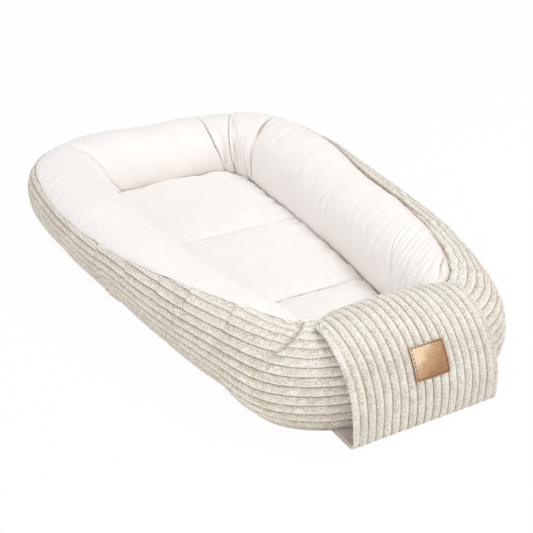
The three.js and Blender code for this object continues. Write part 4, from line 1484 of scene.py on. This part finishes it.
def band_point(run, x, depth):
    """A point of the band: run along it, x across it, and depth below its outer face"""
    place = band_place(run)
    direction = unit(band_place(run + 2 * PROBE) - band_place(run - 2 * PROBE))
    rise = smooth_step(run, HEM_RUN, HINGES[3]) * (1 - smooth_step(run, HINGES[4], INSIDE_RUN))
    inwards = depth - BAND_CROWN * rise * (1 - (2 * x / BAND_WIDTH) ** 2)
    along = place[..., 0] + direction[..., 1] * inwards
    height = place[..., 1] - direction[..., 0] * inwards
    return np.stack([x, along, height], -1)


def band_half(run):
    """Half of the band's width, which narrows towards its end"""
    shoulder = smooth_step(run, FRONT_RUN, FRONT_RUN + TONGUE_SHOULDER)
    return lerp(BAND_WIDTH, TONGUE_WIDTH, shoulder) / 2


def band_rows(start, end):
    """The runs of a stretch's rows of points"""
    count = int(math.ceil((end - start) / BAND_STEP / BACK_STEP)) * BACK_STEP
    return np.linspace(start, end, count + 1)


def band_outer_section(half):
    """x, depth and outward direction (x, depth) of the outer cloth, turned under at both edges"""
    flat = (half - HEM_RADIUS)[:, None]
    bend = math.pi * HEM_RADIUS
    ribs = int(round(BAND_WIDTH / RIB_PITCH)) * RIB_COLUMNS
    under, round_edge = (np.linspace(0, 1, count)[None, :] for count in HEM_STEPS)
    hem = np.concatenate([bend * round_edge[:, 1:], bend + HEM_TURN * under[:, 1:]], 1)
    top = flat * np.linspace(-1, 1, ribs + 1)[None, :]
    arc = np.concatenate([-flat - hem[:, ::-1], top, flat + hem], 1)
    side, over = np.sign(arc), np.maximum(np.abs(arc) - flat, 0)
    angle = np.minimum(over / HEM_RADIUS, math.pi)
    beyond = np.maximum(over - bend, 0)
    reach = np.minimum(np.abs(arc), flat) + HEM_RADIUS * np.sin(angle) - beyond
    depth = HEM_RADIUS * (1 - np.cos(angle))
    return arc, side * reach, depth, side * np.sin(angle), -np.cos(angle)


def make_band_outer(name, start, end):
    """A stretch of the band's corduroy, and its mean width laid flat"""
    rows = band_rows(start, end)
    arc, x, depth, out_x, out_depth = band_outer_section(band_half(rows))
    run = np.broadcast_to(rows[:, None], arc.shape)
    across = arc + RIB_PITCH / 2 + layers(run, arc, BAND_RIB_WAVES)
    turned = smooth_step(np.abs(out_x), *HEM_TURN_SHARES)
    rib_height = lerp(BAND_RIB_HEIGHT, HEM_RIB_HEIGHT, turned)
    started = smooth_step(run, HEM_RUN - BAND_HEM_RADIUS, HEM_RUN + BAND_HEM_RADIUS)
    relief = rib_height * (rib_shape(across) - 1) + layers(run, arc, BAND_WAVES) * started
    face_run = (HINGES[2] + HINGES[3]) / 2
    # Painted shade on the front face and painted highlights over the crest and near the hem
    fold = FACE_SHADE * bell(run - face_run, FACE_REACH)
    fold -= CREST_PAINTED_LIGHT * smooth_step(run, face_run, HINGES[3])
    fold -= HEM_PAINTED_LIGHT * (1 - smooth_step(run, HINGES[1], face_run))
    under = -rib_height - BAND_BACK
    face, back = (
        band_point(run, x + out_x * rise, depth + out_depth * rise) for rise in (relief, under)
    )
    piece = cloth_slab(name, face, back, np.stack([run, -across], -1), corduroy, fold)
    return piece, (arc[:, -1] - arc[:, 0]).mean()


def make_band_lining(name, start, end):
    """A stretch of the band's lining, and its mean width laid flat"""
    rows = band_rows(start, end)
    shares = np.linspace(-1, 1, BAND_LINING_COLUMNS)
    x = (band_half(rows) - LINING_HEM_SHARE * HEM_RADIUS)[:, None] * shares[None, :]
    run = np.broadcast_to(rows[:, None], x.shape)
    relief = layers(run, x, BAND_LINING_WAVES)
    inner = band_point(run, x, BAND_DEPTH - relief)
    outer = band_point(run, x, BAND_DEPTH - LINING_DEPTH / 2 - relief)
    # Painted shade near the hem
    fold = HEM_PAINTED_SHADE * bell(run - HEM_RUN + HEM_REACH / 2, HEM_REACH)
    piece = cloth_slab(name, inner, outer, np.stack([run, x], -1), lining, fold)
    return piece, (x[:, -1] - x[:, 0]).mean()


def make_band():
    """The band's cloths, cut in the middle of each stretch so that each piece spans one joint"""
    nodes = (("band_root", "band_lower"), ("band_front",), ("band_top",), ("band_tongue",))
    cuts = [0.0, *(lerp(a, b, 1 / 2) for a, b in zip(HINGES[1:-2], HINGES[2:-1])), BAND_RUN]
    kinds = (
        (make_band_outer, "outer", "lining", "corduroy"),
        (make_band_lining, "lining", "outer", "lining"),
    )
    for i, name in enumerate(("hem", "front", "crest", "end")):
        for make, kind, other, slot in kinds:
            piece, width = make(f"band_{kind}_{name}", cuts[i], cuts[i + 1])
            stand_in(piece, slot, *(f"{node}_{kind}" for node in nodes[i]))
            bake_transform(piece)


def make_patch():
    """The bare leather patch with its edge stitching"""
    middle = lerp(HEM_RUN, FRONT_RUN, PATCH_PLACE_SHARE)
    v, u = middle_grid(PATCH_STEPS, PATCH_RUN, PATCH_WIDTH)
    from_edge = np.minimum(PATCH_WIDTH / 2 - np.abs(u), PATCH_RUN / 2 - np.abs(v))
    groove = PATCH_GROOVE_DEPTH * bell(from_edge - PATCH_GROOVE_INSET, PATCH_GROOVE_REACH)
    drop = PATCH_EDGE_DROP * fade(from_edge, PATCH_EDGE_REACH) + groove
    rise = layers(u, v, PATCH_WAVES) + PATCH_SWELL - drop
    run, x = middle + v, PATCH_OFFSET + u
    face = band_point(run, x, -TOUCH_GAP - PATCH_DEPTH - rise)
    back = band_point(run, x, np.full(run.shape, -TOUCH_GAP))
    piece = cloth_slab("leather_patch", face, back, np.stack([u, v], -1), leather)
    stand_in(piece, "leather", "patch", body="band_front")
    make_stitches(middle)


def stitch_centres():
    """Middle and direction of each stitch, just inside the patch's edge"""
    half_u, half_v = PATCH_WIDTH / 2 - STITCH_INSET, PATCH_RUN / 2 - STITCH_INSET
    corners = np.array([(-half_u, -half_v), (half_u, -half_v), (half_u, half_v), (-half_u, half_v)])
    for a, b in zip(corners, np.roll(corners, -1, axis=0)):
        side = np.linalg.norm(b - a)
        along = (b - a) / side
        count = int(side // STITCH_PITCH)
        for k in range(count):
            yield a + along * side * (k + 1 / 2) / count, along


def make_stitches(middle):
    """A row of stitches round the patch"""
    sections = np.linspace(-1, 1, STITCH_STEPS[0])
    turns = np.linspace(0, 2 * math.pi, STITCH_STEPS[1], endpoint=False)
    s, turn = grid(sections, turns)
    girth = STITCH_RADIUS * np.sqrt(np.maximum(1 - s ** 4, STITCH_TIP))
    tube = tube_faces(np.arange(s.size).reshape(s.shape))
    points, faces = [], []
    for centre, along in stitch_centres():
        across = np.array([-along[1], along[0]])
        spot = centre + along * (s * STITCH_LENGTH / 2)[..., None]
        spot = spot + across * (girth * np.cos(turn))[..., None]
        lift = girth * np.sin(turn) - STITCH_SINK
        run, x = middle + spot[..., 1], PATCH_OFFSET + spot[..., 0]
        faces += [[corner + s.size * len(points) for corner in corners] for corners in tube]
        points.append(band_point(run, x, -TOUCH_GAP - PATCH_DEPTH - lift).reshape(-1, 3))
    uv = np.stack([s * STITCH_LENGTH, turn * STITCH_RADIUS], -1).reshape(-1, 2)
    uv = np.tile(uv, (len(points), 1))
    piece = mesh_object("patch_stitching", np.concatenate(points), faces, uv, thread)
    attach(piece, "band_front")


def make_tapes():
    """Hook tape on the band's end and loop tapes on the inner side of the roll's ends"""
    middle = BAND_RUN - (HOOK_TAPE_HEIGHT - TONGUE_END_HEIGHT)
    run, x = middle_grid(HOOK_STEPS, HOOK_TAPE_RUN, HOOK_TAPE_WIDTH)
    run += middle
    face = band_point(run, x, BAND_DEPTH + TOUCH_GAP + TAPE_DEPTH + layers(run, x, HOOK_TUFTS))
    back = band_point(run, x, BAND_DEPTH + TOUCH_GAP)
    piece = cloth_slab("hook_strip", face, back, np.stack([x, run], -1), hook_cloth)
    stand_in(piece, "tape", "hook_tape", body="band_tongue")
    tall = float(roll_station(ROLL_END)[5])
    cover = LINING_COVER + LOOP_TAPE_GAP
    for name, side in (("right", 1), ("left", -1)):
        place = side * (ROLL_END - LOOP_TAPE_PLACE - np.linspace(0, LOOP_TAPE_WIDTH, LOOP_STEPS[0]))
        turn = np.linspace(-1, 1, LOOP_STEPS[1]) * HOOK_TAPE_RUN / 2 / tall
        place, angle = grid(place, math.pi + turn)
        face = roll_point(place, angle, cover + TAPE_DEPTH + layers(place, angle * tall, LOOP_TUFTS))
        back = roll_point(place, angle, cover)
        uv = np.stack([place, angle * tall], -1)
        piece = cloth_slab(f"loop_strip_{name}", face, back, uv, loop_cloth)
        stand_in(piece, "tape", f"loop_tape_{name}", body="root")


# Stage, light and camera

def camera_sees(net):
    """1 for rays from the camera, and for those that a mirror or glass sends on"""
    path = net.add("ShaderNodeLightPath").outputs
    total = path["Is Camera Ray"]
    for name in ("Is Glossy Ray", "Is Transmission Ray"):
        total = net.math("MAXIMUM", total, path[name])
    return total


def mix_output(net, output, share, first, second):
    """Sends a mix of two shaders to a tree's output"""
    mix = net.add("ShaderNodeMixShader", {0: share, 1: first.outputs[0], 2: second.outputs[0]})
    net.add(output, {"Surface": mix.outputs[0]})


def empty_tree(owner):
    """The emptied nodes of a material or world"""
    owner.use_nodes = True
    owner.node_tree.nodes.clear()
    return Nodes(owner.node_tree)


def make_stage():
    """The wide floor below the lounger, white to the camera"""
    mesh = bpy.data.meshes.new("stage_floor")
    corners = [(x * STAGE_SIZE, y * STAGE_SIZE, 0) for x, y in ((-1, -1), (1, -1), (1, 1), (-1, 1))]
    mesh.from_pydata(corners, [], [(0, 1, 2, 3)])
    stage = bpy.data.objects.new("stage_floor", mesh)
    stage.location.z = -STAGE_DROP
    bpy.context.scene.collection.objects.link(stage)
    material = bpy.data.materials.new("stage_floor")
    net = empty_tree(material)
    share = net.math("MULTIPLY", camera_sees(net), STAGE_WHITE_SHARE)
    diffuse = net.add("ShaderNodeBsdfDiffuse", {"Color": STAGE_COLOUR})
    glow = net.add("ShaderNodeEmission", {"Color": WHITE, "Strength": 1.0})
    mix_output(net, "ShaderNodeOutputMaterial", share, diffuse, glow)
    mesh.materials.append(material)


def make_world():
    """Soft light from all sides before a white background"""
    world = bpy.data.worlds.new("studio")
    bpy.context.scene.world = world
    net = empty_tree(world)
    soft = net.add("ShaderNodeBackground", {"Color": SKY_COLOUR, "Strength": SKY_STRENGTH})
    white = net.add("ShaderNodeBackground", {"Color": WHITE, "Strength": 1.0})
    mix_output(net, "ShaderNodeOutputWorld", camera_sees(net), soft, white)


def add_lamp(name, place, target, size, power):
    """A square lamp that faces a target"""
    lamp = bpy.data.lights.new(name, "AREA")
    lamp.shape = "SQUARE"
    lamp.size = size
    lamp.energy = power
    holder = bpy.data.objects.new(name, lamp)
    holder.location = place
    away = np.array(target) - np.array(place)
    tilt = math.atan2(math.hypot(away[0], away[1]), -away[2])
    holder.rotation_euler = (tilt, 0, math.atan2(away[1], away[0]) - math.pi / 2)
    bpy.context.scene.collection.objects.link(holder)


def make_camera():
    data = bpy.data.cameras.new("camera")
    data.lens = CAMERA_LENS
    data.sensor_width = SENSOR_WIDTH
    camera = bpy.data.objects.new("camera", data)
    camera.location = CAMERA_PLACE
    camera.rotation_euler = (math.pi / 2 - CAMERA_DIP, 0, CAMERA_TURN)
    bpy.context.scene.collection.objects.link(camera)
    bpy.context.scene.camera = camera


make_camera()
make_stuffing()
for length_name in ("left", "head", "right"):
    make_lining(length_name)
panel_seams = [share * ROLL_RUN for share in PANEL_SEAM_SHARES]
make_panel("left", -ROLL_END + PROBE, panel_seams[0])
make_panel("head", panel_seams[0], panel_seams[1])
make_panel("right", panel_seams[1], ROLL_END - PROBE)
make_floor()
make_underside()
make_band()
make_patch()
make_tapes()

make_stage()
make_world()
for lamp_settings in LAMPS:
    add_lamp(*lamp_settings)

bpy.context.scene.view_settings.view_transform = "Standard"
